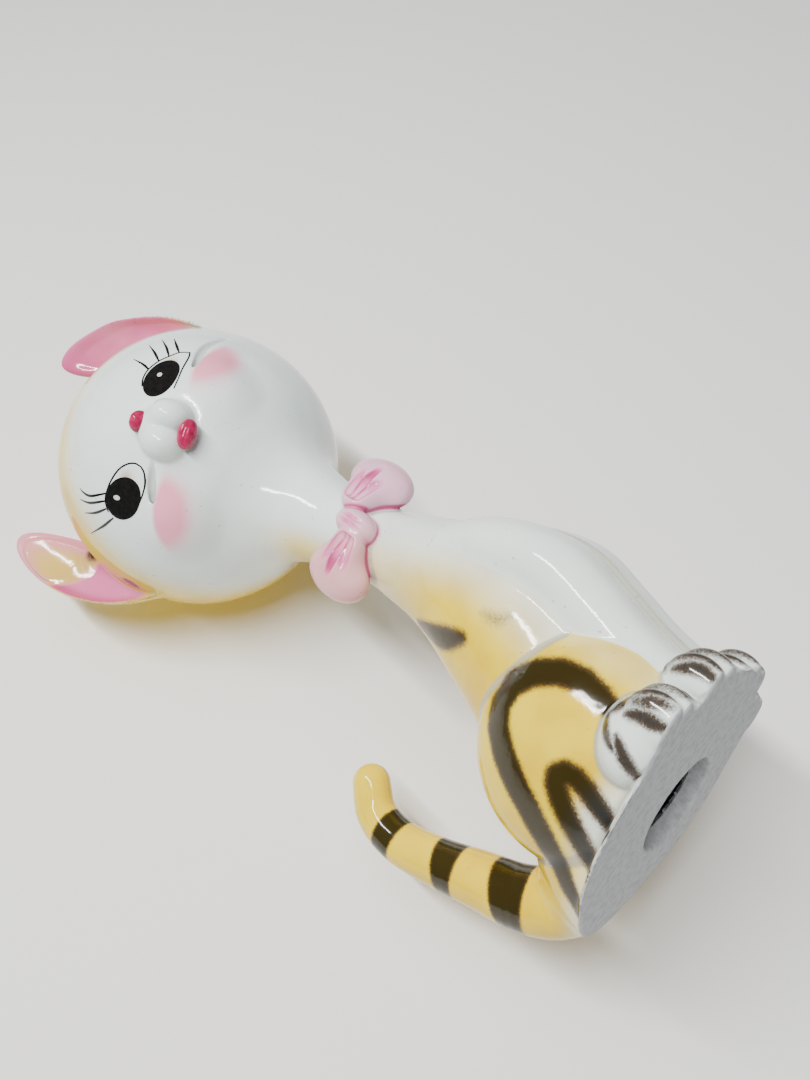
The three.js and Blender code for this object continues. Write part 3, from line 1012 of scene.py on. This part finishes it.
class Sheet:
    """A material's node tree."""

    def __init__(self, name):
        self.material = bpy.data.materials.new(name)
        self.material.use_nodes = True
        self.tree = self.material.node_tree
        self.tree.nodes.clear()
        self.output = self.tree.nodes.new("ShaderNodeOutputMaterial")

    def node(self, kind, settings, inputs):
        """Adds a node: its settings first, then the values or links of its sockets. Gives its outputs."""
        made = self.tree.nodes.new(kind)
        for key, value in settings.items():
            setattr(made, key, value)
        for key, value in inputs.items():
            if isinstance(value, Socket):
                self.tree.links.new(value.socket, made.inputs[key])
            else:
                made.inputs[key].default_value = value
        return [Socket(self, out) for out in made.outputs if out.enabled]

    def mask(self, name):
        return self.node("ShaderNodeAttribute", {"attribute_name": name}, {})[2]

    def place(self):
        return self.node("ShaderNodeTexCoord", {}, {})[3]

    def noise(self, size, detail=2.0, roughness=0.5):
        """Noise from 0 to 1 whose features are about that size, in metres."""
        inputs = {"Vector": self.place(), "Scale": 1 / size, "Detail": detail, "Roughness": roughness}
        return self.node("ShaderNodeTexNoise", {}, inputs)[0]

    def mix(self, share, first, second):
        inputs = {0: share, 6: first, 7: second}
        return self.node("ShaderNodeMix", {"data_type": "RGBA", "clamp_factor": True}, inputs)[0]

    def bump(self, height, depth):
        return self.node("ShaderNodeBump", {}, {"Height": height, "Distance": depth, "Strength": 1.0})[0]

    def principled(self, **inputs):
        named = {key.replace("_", " "): value for key, value in inputs.items()}
        shader = self.node("ShaderNodeBsdfPrincipled", {}, named)[0]
        self.tree.links.new(shader.socket, self.output.inputs["Surface"])
        return shader


GLASS_IOR = 1.46
BISQUE_ROUGHNESS = 0.82


def glaze_material(name, colours):
    """Clear glaze over airbrushed underglaze, bare and matt where the foot was wiped clean."""
    s = Sheet(name)
    cloud = s.noise(0.011, 3.0)
    grain = s.noise(0.0007, 2.0, 0.7)
    speckle = s.noise(0.00028, 2.0, 0.8)
    spray = (speckle - 0.5) * 0.9 + (grain - 0.5) * 0.5

    white = s.mix(cloud.rise(0.3, 0.75), colours.white_glaze, colours.white_glaze_shade)
    yellow_share = (s.mask("yellow") * (0.86 + 0.3 * cloud)).at_most_one()
    yellow = s.mix(cloud.rise(0.35, 0.7), colours.yellow, colours.yellow_deep)
    colour = s.mix(yellow_share.rise(0.0, 0.85), white, yellow)
    colour = s.mix(s.mask("tan"), colour, colours.tan)
    rose = s.mask("rose")
    colour = s.mix((rose + rose * spray * 0.25).rise(0.02, 1.05) * 0.85, colour, colours.rose)
    # Deeper pink: the ears' own paint, and in the bow's folds pooled glaze with painted shade
    pink = s.mix((s.mask("deep_pink_and_shade") + (cloud - 0.5) * 0.3).rise(0.0, 0.95), colours.pink, colours.pink_deep_and_shade)
    colour = s.mix((s.mask("pink") + (cloud - 0.5) * 0.25 * s.mask("pink")).at_most_one(), colour, pink)
    # Pooled glaze and painted shade: grey-green darkening in hollows, creases and between limbs
    colour = s.mix(s.mask("glaze_pool_and_shade").rise(0.2, 0.8) * 0.7, colour, colours.pooled_glaze_and_shade)

    dark = s.mask("dark")
    fringe = 4.0 * dark * (1 - dark)
    spread = dark + spray * fringe * 0.55
    brown = s.mix(spread.rise(0.42, 0.85), colours.brown, colours.black)
    colour = s.mix(spread.rise(0.14, 0.6) * 0.97, colour, brown)

    fleck = s.noise(0.0009, 0.0).rise(0.83, 0.87)
    colour = s.mix(fleck * 0.35, colour, colours.brown)

    bare = (s.mask("bare") + (grain - 0.5) * 0.35).rise(0.42, 0.58)
    bisque = s.mix(s.noise(0.0016, 4.0, 0.7).rise(0.35, 0.7), colours.bisque, colours.bisque_shade)
    colour = s.mix(bare, colour, bisque)

    gloss = 0.07 + 0.07 * s.noise(0.004, 2.0)
    roughness = s.node("ShaderNodeMix", {"data_type": "FLOAT"}, {0: bare, 2: gloss, 3: BISQUE_ROUGHNESS})[0]
    skin_wave = s.noise(0.0065, 1.0) * 0.8 + s.noise(0.0016, 1.0) * 0.12
    tooth = s.noise(0.0005, 3.0, 0.7) * bare * 0.25
    normal = s.bump(skin_wave + tooth, 0.00022)
    s.principled(Base_Color=colour, Roughness=roughness, Normal=normal, IOR=GLASS_IOR)
    return s.material


def enamel_material(name, colour, shade, size):
    """Brushed-on overglaze enamel, a little streaky, under a hard gloss."""
    s = Sheet(name)
    streaks = s.noise(size, 3.0, 0.6)
    base = s.mix(streaks.rise(0.35, 0.7), colour, shade)
    roughness = 0.06 + 0.06 * s.noise(size * 2, 2.0)
    normal = s.bump(s.noise(size * 1.5, 2.0), 0.00001)
    s.principled(Base_Color=base, Roughness=roughness, Normal=normal, IOR=GLASS_IOR)
    return s.material


def floor_material(name, colour):
    """Matt pale card, seen from its face only."""
    s = Sheet(name)
    base = s.mix(s.noise(0.05, 3.0) * 0.25, colour, [c * 0.96 for c in colour[:3]] + [1.0])
    card = s.principled(Base_Color=base, Roughness=0.75)
    clear = s.node("ShaderNodeBsdfTransparent", {}, {})[0]
    behind = s.node("ShaderNodeNewGeometry", {}, {})[6]
    both = s.node("ShaderNodeMixShader", {}, {0: behind, 1: card, 2: clear})[0]
    s.tree.links.new(both.socket, s.output.inputs["Surface"])
    return s.material


# --- pieces ---

SLOT_OF = {row["node"]: row["material_slot"] for row in frame["record"]["subparts"]}
WALLS = {"torso_shell": 2.6, "head_shell": 2.6, "tail": 2.2, "left_ear": 0.5, "right_ear": 0.5}
THIN_WALL = 1.0
THINNEST_SHARE = 0.12
BOW_PIECES = ("bow_left_loop", "bow_right_loop", "bow_knot")
FINE_PIECES = HEAD_PIECES[1:] + BOW_PIECES + tuple(f"{word}_{kind}" for word in SIDES for kind in PAWS)
# The name, the two colours and the brush marks' size in metres of each enamel
ENAMELS = {
    "red_enamel": ("kitten_red_enamel", "red", "red_deep", 0.0012),
    "black_enamel": ("kitten_black_enamel", "ink", "ink_worn", 0.0009),
    "eye_dot": ("kitten_white_dot", "dot", "dot_shade", 0.0005),
}
_materials = {}


def material_for(slot):
    """The one material of a slot, made when the first piece asks for it."""
    if slot not in _materials:
        colours = bpy.context.scene.kitten_colours
        if slot in ENAMELS:
            name, main_colour, shade, size = ENAMELS[slot]
            made = enamel_material(name, getattr(colours, main_colour), getattr(colours, shade), size)
        else:
            made = glaze_material(f"kitten_{slot}", colours)
        _materials[slot] = made
    return _materials[slot]


def add_piece(name, points, normals, faces, masks, slot, replaced):
    """Makes the object of a piece from millimetres in the figure's frame, and ties it to the frame."""
    mesh = bpy.data.meshes.new(name)
    mesh.from_pydata(((points + ORIGIN) * MM).tolist(), [], faces.tolist())
    mesh.shade_smooth()
    for mask, values in masks.items():
        attribute = mesh.attributes.new(mask, "FLOAT", "POINT")
        attribute.data.foreach_set("value", np.asarray(values, np.float32))
    mesh.normals_split_custom_set_from_vertices(normals.tolist())
    if mesh.validate():
        raise RuntimeError(f"{name} has faces that aren't valid")
    piece = bpy.data.objects.new(name, mesh)
    bpy.context.scene.collection.objects.link(piece)
    piece.data.materials.append(material_for(slot))
    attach(piece, "root")
    if replaced:
        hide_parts(*replaced)
    return piece


def add_glazed(name):
    """The glazed skin of one casting or sprig, closed into a wall of clay."""
    points, normals, faces = patch_of(name)
    if name in FINE_PIECES:
        points, faces = refined(points, faces)
        points, normals = settle(points, 1)
    masks = paint_of(name, points, normals)
    wall = WALLS.get(name, THIN_WALL)
    wall = wall * np.clip(-clay(points - normals * wall) / wall, THINNEST_SHARE, 1)[:, None]
    count = len(points)
    points, normals, faces = thickened(points, normals, faces, wall)
    both = {mask: np.tile(values, 2) for mask, values in masks.items()}
    both["bare"][count:] = 1.0
    both["dark"][count:] = 0.0
    return add_piece(f"{name}_glazed", points, normals, faces, both, SLOT_OF[name], [name])


SPRIG_GRAIN = 0.16
SPRIG_MARGIN = 1.2


def add_sprig(name, shape):
    """A small closed form pressed on to the figure, on a grid of its own."""
    low, high = box_mm(name)
    step = SPRIG_GRAIN * 1
    low, high = low - ORIGIN - SPRIG_MARGIN, high - ORIGIN + SPRIG_MARGIN
    count = np.ceil((high - low) / step).astype(int) + 1
    index = np.stack(np.meshgrid(*[np.arange(n) for n in count], indexing="ij"), -1)
    values = shape(grid_points(low, index.reshape(-1, 3), step)).reshape(count)
    points, faces = net_of(values, low, step)
    points, normals = settle(points, 2, shape)
    return add_piece(f"{name}_enamel", points, normals, faces, {}, SLOT_OF[name], [name])


def nose(p):
    """A small button with a crease down it."""
    local = (p - on_head(0.985, MUZZLE_SIDE, -0.35)) @ HEAD_AXES
    button = ellipsoid(local, np.zeros(3), (2.6, 2.5, 1.7))
    crease = tube(local, np.array([(2.6, 0, 1.2), (2.9, 0, -1.2)]), (0.35, 0.3))
    return carve(button, crease, 0.5)


def lips(p):
    """Two full lips with a curved parting line."""
    local = (p - on_head(0.85, MUZZLE_SIDE, -0.65)) @ HEAD_AXES
    outer = ellipsoid(local, np.zeros(3), (2.3, 3.4, 2.0))
    path = np.array([(0.8, -3.2, -1.6), (2.1, -1.2, -0.9), (2.1, 1.2, -0.9), (0.8, 3.2, -1.6)])
    return carve(outer, tube(local, path, (0.3, 0.5, 0.5, 0.3)), 0.6)


# --- painted eyes ---

# Everything on an eye is in millimetres along the head's left and up, from the middle of the iris.
EYES = {
    "left": {
        "at": (0.861, 0.423, -0.282),
        "iris": ((0.4, 0.1), (5.4, 3.7), 5),
        "dot": ((0.8, 0.8), (0.6, 0.55)),
        "lids": [
            [(-3.4, 2.8), (-1.4, 3.9), (1.2, 4.35), (4.3, 3.7), (6.6, 2.5), (8.7, 1.3), (9.9, -0.7)],
            [(9.9, -0.7), (8.6, -1.5), (6.8, -2.2), (4.0, -3.1), (1.6, -3.9), (-1.2, -4.5)],
        ],
        "lashes": [
            [(1.2, 4.2), (2.2, 6.6), (3.3, 10.7)],
            [(4.4, 3.8), (6.6, 6.9), (8.9, 10.7)],
            [(6.7, 2.7), (9.1, 5.4), (11.8, 9.2)],
            [(8.8, 1.5), (10.9, 4.0), (13.1, 6.6)],
        ],
    },
    "right": {
        "at": (0.875, -0.395, -0.281),
        "iris": ((0.0, 0.1), (5.2, 4.2), -35),
        "dot": ((0.1, 1.6), (0.55, 0.85)),
        "lids": [
            [(-3.6, 4.3), (-1.2, 4.9), (1.4, 4.2), (4.0, 2.9), (6.4, 1.1), (7.7, -0.9), (8.0, -2.7),
             (7.4, -4.2)],
            [(7.4, -4.2), (6.1, -5.0), (3.9, -5.3), (1.9, -5.0), (0.0, -4.3), (-2.4, -3.1)],
        ],
        "lashes": [
            [(0.7, 4.5), (-0.7, 9.4), (-0.3, 11.9), (0.4, 13.0)],
            [(-1.1, 4.9), (-2.4, 9.8), (-2.3, 13.3)],
            [(-2.9, 4.8), (-4.5, 8.4), (-5.3, 12.1)],
            [(-4.8, 3.1), (-7.4, 6.6), (-10.4, 11.7)],
        ],
    },
}
LID_WIDTH = 0.2
LASH_WIDTH = 0.3
LINE_LIFT = 0.05
IRIS_LIFT = 0.07
DOT_LIFT = 0.11
PAINT_DEPTH = 0.12
DROP_STEPS = 14


def laid_on_skin(flat, at):
    """Drops flat points (left, up) round a place on the head on to the skin. Gives places and normals."""
    outwards = np.array(at) / np.linalg.norm(at)
    up = np.array([0, 0, 1.0]) - outwards * outwards[2]
    up /= np.linalg.norm(up)
    left = np.cross(up, outwards)
    axes = HEAD_AXES @ np.stack([left, up, outwards], 1)
    points = HEAD_CENTRE + axes[:, 2] * HEAD_RADIUS * 1.1 + flat @ axes[:, :2].T
    for _ in range(DROP_STEPS):
        points = points - clay(points)[:, None] * 0.9 * axes[:, 2]
    _, normals = settle(points, 0)
    return points, normals


def add_paint(name, film, at, slot, lift, replaced=()):
    """A film of paint (flat points and faces) that lies on the skin, as a thin closed solid."""
    flat, faces = film
    points, normals = laid_on_skin(flat, at)
    points = points + normals * lift
    points, normals, faces = thickened(points, normals, faces, lift + PAINT_DEPTH)
    return add_piece(name, points, normals, faces, {}, slot, replaced)


def oval(middle, radii, angle, rings=10):
    """A filled oval made from a square grid, whose lines are bent so that its rim is round."""
    turn = math.radians(angle)
    across = np.array([[math.cos(turn), -math.sin(turn)], [math.sin(turn), math.cos(turn)]])
    size = 2 * rings
    u, v = np.meshgrid(np.linspace(-1, 1, size + 1), np.linspace(-1, 1, size + 1), indexing="ij")
    disc = np.stack([u * np.sqrt(1 - v * v / 2), v * np.sqrt(1 - u * u / 2)], -1).reshape(-1, 2)
    flat = (disc * radii) @ across.T + middle
    at = np.arange((size + 1) ** 2).reshape(size + 1, size + 1)
    faces = np.stack([at[:-1, :-1], at[1:, :-1], at[1:, 1:], at[:-1, 1:]], -1).reshape(-1, 4)
    return flat, faces


def brushed(knots, width, start=0.6, end=0.25):
    """A brush line through knots, widest a third of the way along, as a strip three points wide."""
    steps = 8 * (len(knots) - 1) + 8
    path = through(range(len(knots)), knots, np.linspace(0, len(knots) - 1, steps + 1))
    ahead = np.gradient(path, axis=0)
    ahead /= np.linalg.norm(ahead, axis=1)[:, None]
    side = np.stack([-ahead[:, 1], ahead[:, 0]], 1)
    at = np.linspace(0, 1, steps + 1)
    half = width * through([0, 0.3, 1], [start, 1.0, end], at)[:, None]
    flat = np.stack([path + side * half, path, path - side * half], 1).reshape(-1, 2)
    k = np.arange(steps)[:, None] * 3 + np.arange(2)
    faces = np.stack([k, k + 1, k + 4, k + 3], -1).reshape(-1, 4)
    return flat, faces


def joined_strips(strips):
    """Several strips as one mesh."""
    flats, faces, so_far = [], [], 0
    for flat, strip_faces in strips:
        flats.append(flat)
        faces.append(strip_faces + so_far)
        so_far += len(flat)
    return np.concatenate(flats), np.concatenate(faces)


# --- the stage ---

# The figure lies on its back and left side for its portrait: the floor's upward direction, and the view
FLOOR_UP = np.array([0.64, -0.76, -0.105])
FLOOR_UP /= np.linalg.norm(FLOOR_UP)
VIEW_RIGHT = np.array([0.438, 0.5599, -0.7033])
VIEW_UP = np.array([0.8785, -0.1004, 0.4671])
VIEW_BACK = np.array([0.1909, -0.8224, -0.5359])
VIEW_FROM = np.array([52.79, -174.52, -39.32])
SHEET_SIZE = 1.6
CAD_MIDDLE = np.mean(cad_bounds, axis=0)
STANDING_FLOOR_Z = -0.3 * MM


def axes_matrix(right, up, back, place):
    """The placement whose own X, Y and Z point right, up and back, in metres."""
    matrix = Matrix.Identity(4)
    for row in range(3):
        matrix[row] = (right[row], up[row], back[row], place[row])
    return matrix


def facing(direction, up_hint):
    """Axes whose back points in a direction, with up as near up_hint as it can be."""
    back = np.array(direction) / np.linalg.norm(direction)
    right = np.cross(up_hint, back)
    right /= np.linalg.norm(right)
    return right, np.cross(back, right), back


def add_camera():
    """The portrait's camera."""
    data = bpy.data.cameras.new("portrait")
    data.lens = bpy.context.scene.kitten_stage.lens
    data.clip_start = 0.005
    camera = bpy.data.objects.new("portrait", data)
    bpy.context.scene.collection.objects.link(camera)
    camera.matrix_world = axes_matrix(VIEW_RIGHT, VIEW_UP, VIEW_BACK, (VIEW_FROM + ORIGIN) * MM)
    bpy.context.scene.camera = camera


def add_floor(name, up, place, material):
    """A pale sheet with its face towards up."""
    right, ahead, back = facing(up, VIEW_UP if abs(up[2]) < 0.9 else (0, 1, 0))
    mesh = bpy.data.meshes.new(name)
    half = SHEET_SIZE / 2
    corners = [(-half, -half, 0), (half, -half, 0), (half, half, 0), (-half, half, 0)]
    mesh.from_pydata(corners, [], [(0, 1, 2, 3)])
    mesh.materials.append(material)
    floor = bpy.data.objects.new(name, mesh)
    bpy.context.scene.collection.objects.link(floor)
    floor.matrix_world = axes_matrix(right, ahead, back, place)
    floor.visible_shadow = False
    return floor


def add_lamp(name, direction, distance, size, power, along=VIEW_RIGHT):
    """A soft rectangular lamp, its length turned along that way, that looks at the figure's middle."""
    data = bpy.data.lights.new(name, "AREA")
    data.shape = "RECTANGLE"
    data.size, data.size_y = size
    data.energy = power
    lamp = bpy.data.objects.new(name, data)
    bpy.context.scene.collection.objects.link(lamp)
    right, up, back = facing(direction, np.cross(direction, along))
    lamp.matrix_world = axes_matrix(right, up, back, CAD_MIDDLE + back * distance)
    return lamp


# --- what a user would change ---


def colour(name, description, default):
    """A colour setting."""
    return bpy.props.FloatVectorProperty(
        name=name, description=description, default=(*default, 1.0), size=4, subtype="COLOR", min=0, max=1,
    )


class KittenShape(bpy.types.PropertyGroup):
    grain: bpy.props.FloatProperty(
        name="Grain", description="Spacing of the skin's mesh", default=0.00052, min=0.0003, max=0.002,
        unit="LENGTH", subtype="DISTANCE", precision=5,
    )


class KittenColours(bpy.types.PropertyGroup):
    white_glaze: colour("White glaze", "The bluish white of the face and chest", (0.76, 0.83, 0.80))
    white_glaze_shade: colour("White glaze, shaded", "That glaze where it lies thicker", (0.70, 0.79, 0.77))
    # The colour of pooled glaze, which also serves as painted shade in hollows, creases and joints
    pooled_glaze_and_shade: colour("Pooled glaze", "Grey-green glaze gathered in the creases", (0.30, 0.31, 0.27))
    yellow: colour("Yellow", "The airbrushed yellow of the back and tail", (0.80, 0.58, 0.02))
    yellow_deep: colour("Deep yellow", "Yellow where the spray was heavier", (0.70, 0.46, 0.01))
    tan: colour("Tan", "Thin brown in the corners of the eyes", (0.47, 0.30, 0.17))
    rose: colour("Rose", "The blush of the cheeks", (0.82, 0.22, 0.34))
    pink: colour("Pink", "The ears and the bow", (0.74, 0.21, 0.40))
    # Deeper pink: deeper paint on the ears, and pooled glaze with painted shade in the bow's folds
    pink_deep_and_shade: colour("Deep pink", "Pink gathered in folds", (0.50, 0.07, 0.20))
    brown: colour("Brown", "The thin edge of a stripe", (0.06, 0.032, 0.016))
    black: colour("Black", "The middle of a stripe", (0.004, 0.003, 0.002))
    bisque: colour("Bisque", "Bare clay under the foot", (0.55, 0.57, 0.58))
    bisque_shade: colour("Bisque, soiled", "Bare clay with dust in it", (0.40, 0.41, 0.41))
    red: colour("Lip red", "The mouth and nose", (0.42, 0.018, 0.085))
    red_deep: colour("Deep lip red", "Red where the brush left more", (0.26, 0.008, 0.045))
    ink: colour("Ink", "Irises, eye lines and lashes", (0.003, 0.003, 0.003))
    ink_worn: colour("Ink, thin", "Ink where the brush ran dry", (0.008, 0.007, 0.006))
    dot: colour("Dot", "The small light dot in each iris", (0.62, 0.62, 0.58))
    dot_shade: colour("Dot, shaded", "The same dot where it is thinner", (0.45, 0.45, 0.42))
    floor: colour("Floor", "The pale card under the figure", (0.80, 0.79, 0.77))


class KittenStage(bpy.types.PropertyGroup):
    lens: bpy.props.FloatProperty(
        name="Lens", description="Focal length of the portrait camera", default=33.2, min=20, max=120,
        unit="CAMERA",
    )
    key_power: bpy.props.FloatProperty(
        name="Key", description="Power of the strip lamp", default=8.0, min=0, unit="POWER",
    )
    soft_power: bpy.props.FloatProperty(
        name="Soft", description="Power of the broad lamp", default=7.5, min=0, unit="POWER",
    )
    air: bpy.props.FloatProperty(
        name="Air", description="Brightness of the pale surroundings", default=0.2, min=0, max=3,
    )


class KITTEN_OT_stage(bpy.types.Operator):
    """Adds the camera, the pale air and the soft lamps"""
    bl_idname = "kitten.stage"
    bl_label = "Stage"

    def execute(self, context):
        settings = context.scene.kitten_stage
        add_camera()
        air = bpy.data.worlds.new("pale_air")
        air.use_nodes = True
        air.node_tree.nodes["Background"].inputs["Color"].default_value = (0.93, 0.96, 1.0, 1.0)
        air.node_tree.nodes["Background"].inputs["Strength"].default_value = settings.air
        context.scene.world = air
        near_end = VIEW_UP * 0.20 - VIEW_RIGHT * 0.05 + VIEW_BACK * 0.97
        far_end = VIEW_UP * 0.62 - VIEW_RIGHT * 0.58 + VIEW_BACK * 0.52
        add_lamp("strip", near_end + far_end, 0.65, (0.6, 0.035), settings.key_power, near_end - far_end)
        above = VIEW_BACK * 0.75 + VIEW_UP * 0.75 - VIEW_RIGHT * 0.2
        broad = add_lamp("broad", above, 1.1, (0.9, 0.9), settings.soft_power)
        rear = add_lamp("rear", (-0.6, 0.7, 0.45), 0.9, (0.7, 0.7), settings.soft_power * 0.8)
        broad.visible_glossy = False
        rear.visible_glossy = False
        return {"FINISHED"}


class KITTEN_OT_floor(bpy.types.Operator):
    """Adds the floor that the figure lies on and the one that it stands on"""
    bl_idname = "kitten.floor"
    bl_label = "Floor"

    def execute(self, context):
        card = floor_material("pale_card", list(context.scene.kitten_colours.floor))
        lowest = ((skin()["points"] + ORIGIN) * MM @ FLOOR_UP).min()
        add_floor("lying_floor", FLOOR_UP, CAD_MIDDLE + FLOOR_UP * (lowest - CAD_MIDDLE @ FLOOR_UP), card)
        standing = add_floor("standing_floor", np.array([0, 0, 1.0]), (0, 0, STANDING_FLOOR_Z), card)
        standing.visible_diffuse = False
        standing.visible_glossy = False
        return {"FINISHED"}


class GlazedPieces:
    """What the operators share that add glazed pieces: they differ in the names of the pieces."""
    names = ()

    def execute(self, context):
        for name in self.names:
            add_glazed(name)
        return {"FINISHED"}


class KITTEN_OT_body(GlazedPieces, bpy.types.Operator):
    """Adds the glazed torso, haunches and tail"""
    bl_idname = "kitten.body"
    bl_label = "Body"
    names = ("torso_shell", "left_haunch", "right_haunch", "tail")


class KITTEN_OT_legs(GlazedPieces, bpy.types.Operator):
    """Adds the glazed forelegs and the four paws"""
    bl_idname = "kitten.legs"
    bl_label = "Legs and paws"
    names = [f"{side}_{part}" for side in ("left", "right") for part in ("foreleg", "forepaw", "hind_paw")]


class KITTEN_OT_head(GlazedPieces, bpy.types.Operator):
    """Adds the glazed head, muzzle and ears"""
    bl_idname = "kitten.head"
    bl_label = "Head and ears"
    names = HEAD_PIECES


class KITTEN_OT_bow(GlazedPieces, bpy.types.Operator):
    """Adds the glazed bow: a knot and two loops"""
    bl_idname = "kitten.bow"
    bl_label = "Bow"
    names = BOW_PIECES


class KITTEN_OT_mouth(bpy.types.Operator):
    """Adds the red nose and mouth"""
    bl_idname = "kitten.mouth"
    bl_label = "Nose and mouth"

    def execute(self, context):
        add_sprig("nose_tip", nose)
        add_sprig("mouth", lips)
        return {"FINISHED"}


class KITTEN_OT_eyes(bpy.types.Operator):
    """Paints the irises, their dots, the eye lines and the lashes"""
    bl_idname = "kitten.eyes"
    bl_label = "Eyes"

    def execute(self, context):
        for side, eye in EYES.items():
            at = eye["at"]
            iris, dot = oval(*eye["iris"]), oval(*eye["dot"], 0, rings=4)
            lids = joined_strips([brushed(knots, LID_WIDTH, 0.9, 0.8) for knots in eye["lids"]])
            lashes = joined_strips([brushed(knots, LASH_WIDTH) for knots in eye["lashes"]])
            add_paint(f"{side}_iris_paint", iris, at, "black_enamel", IRIS_LIFT, [f"{side}_iris"])
            add_paint(f"{side}_iris_dot", dot, at, "eye_dot", DOT_LIFT)
            add_paint(f"{side}_eye_line", lids, at, "black_enamel", LINE_LIFT)
            add_paint(f"{side}_lashes", lashes, at, "black_enamel", LINE_LIFT)
        return {"FINISHED"}


class KITTEN_PT_panel(bpy.types.Panel):
    bl_idname = "KITTEN_PT_panel"
    bl_label = "Ceramic Kitten"
    bl_space_type = "VIEW_3D"
    bl_region_type = "UI"
    bl_category = "Kitten"

    def draw(self, context):
        for operator in OPERATORS:
            self.layout.operator(operator.bl_idname)
        for group in (context.scene.kitten_shape, context.scene.kitten_colours, context.scene.kitten_stage):
            for name in group.bl_rna.properties.keys():
                if name not in ("rna_type", "name"):
                    self.layout.prop(group, name)


GROUPS = {"kitten_shape": KittenShape, "kitten_colours": KittenColours, "kitten_stage": KittenStage}
OPERATORS = (
    KITTEN_OT_stage, KITTEN_OT_floor, KITTEN_OT_body, KITTEN_OT_legs, KITTEN_OT_head, KITTEN_OT_bow,
    KITTEN_OT_mouth, KITTEN_OT_eyes,
)


def register():
    for name, group in GROUPS.items():
        bpy.utils.register_class(group)
        setattr(bpy.types.Scene, name, bpy.props.PointerProperty(type=group))
    for operator in OPERATORS:
        bpy.utils.register_class(operator)
    bpy.utils.register_class(KITTEN_PT_panel)


def unregister():
    bpy.utils.unregister_class(KITTEN_PT_panel)
    for operator in reversed(OPERATORS):
        bpy.utils.unregister_class(operator)
    for name, group in GROUPS.items():
        delattr(bpy.types.Scene, name)
        bpy.utils.unregister_class(group)


def main():
    """Builds the figure."""
    register()
    bpy.ops.kitten.stage()
    bpy.ops.kitten.floor()
    bpy.ops.kitten.body()
    bpy.ops.kitten.legs()
    bpy.ops.kitten.head()
    bpy.ops.kitten.bow()
    bpy.ops.kitten.mouth()
    bpy.ops.kitten.eyes()


if __name__ == "__main__":
    main()
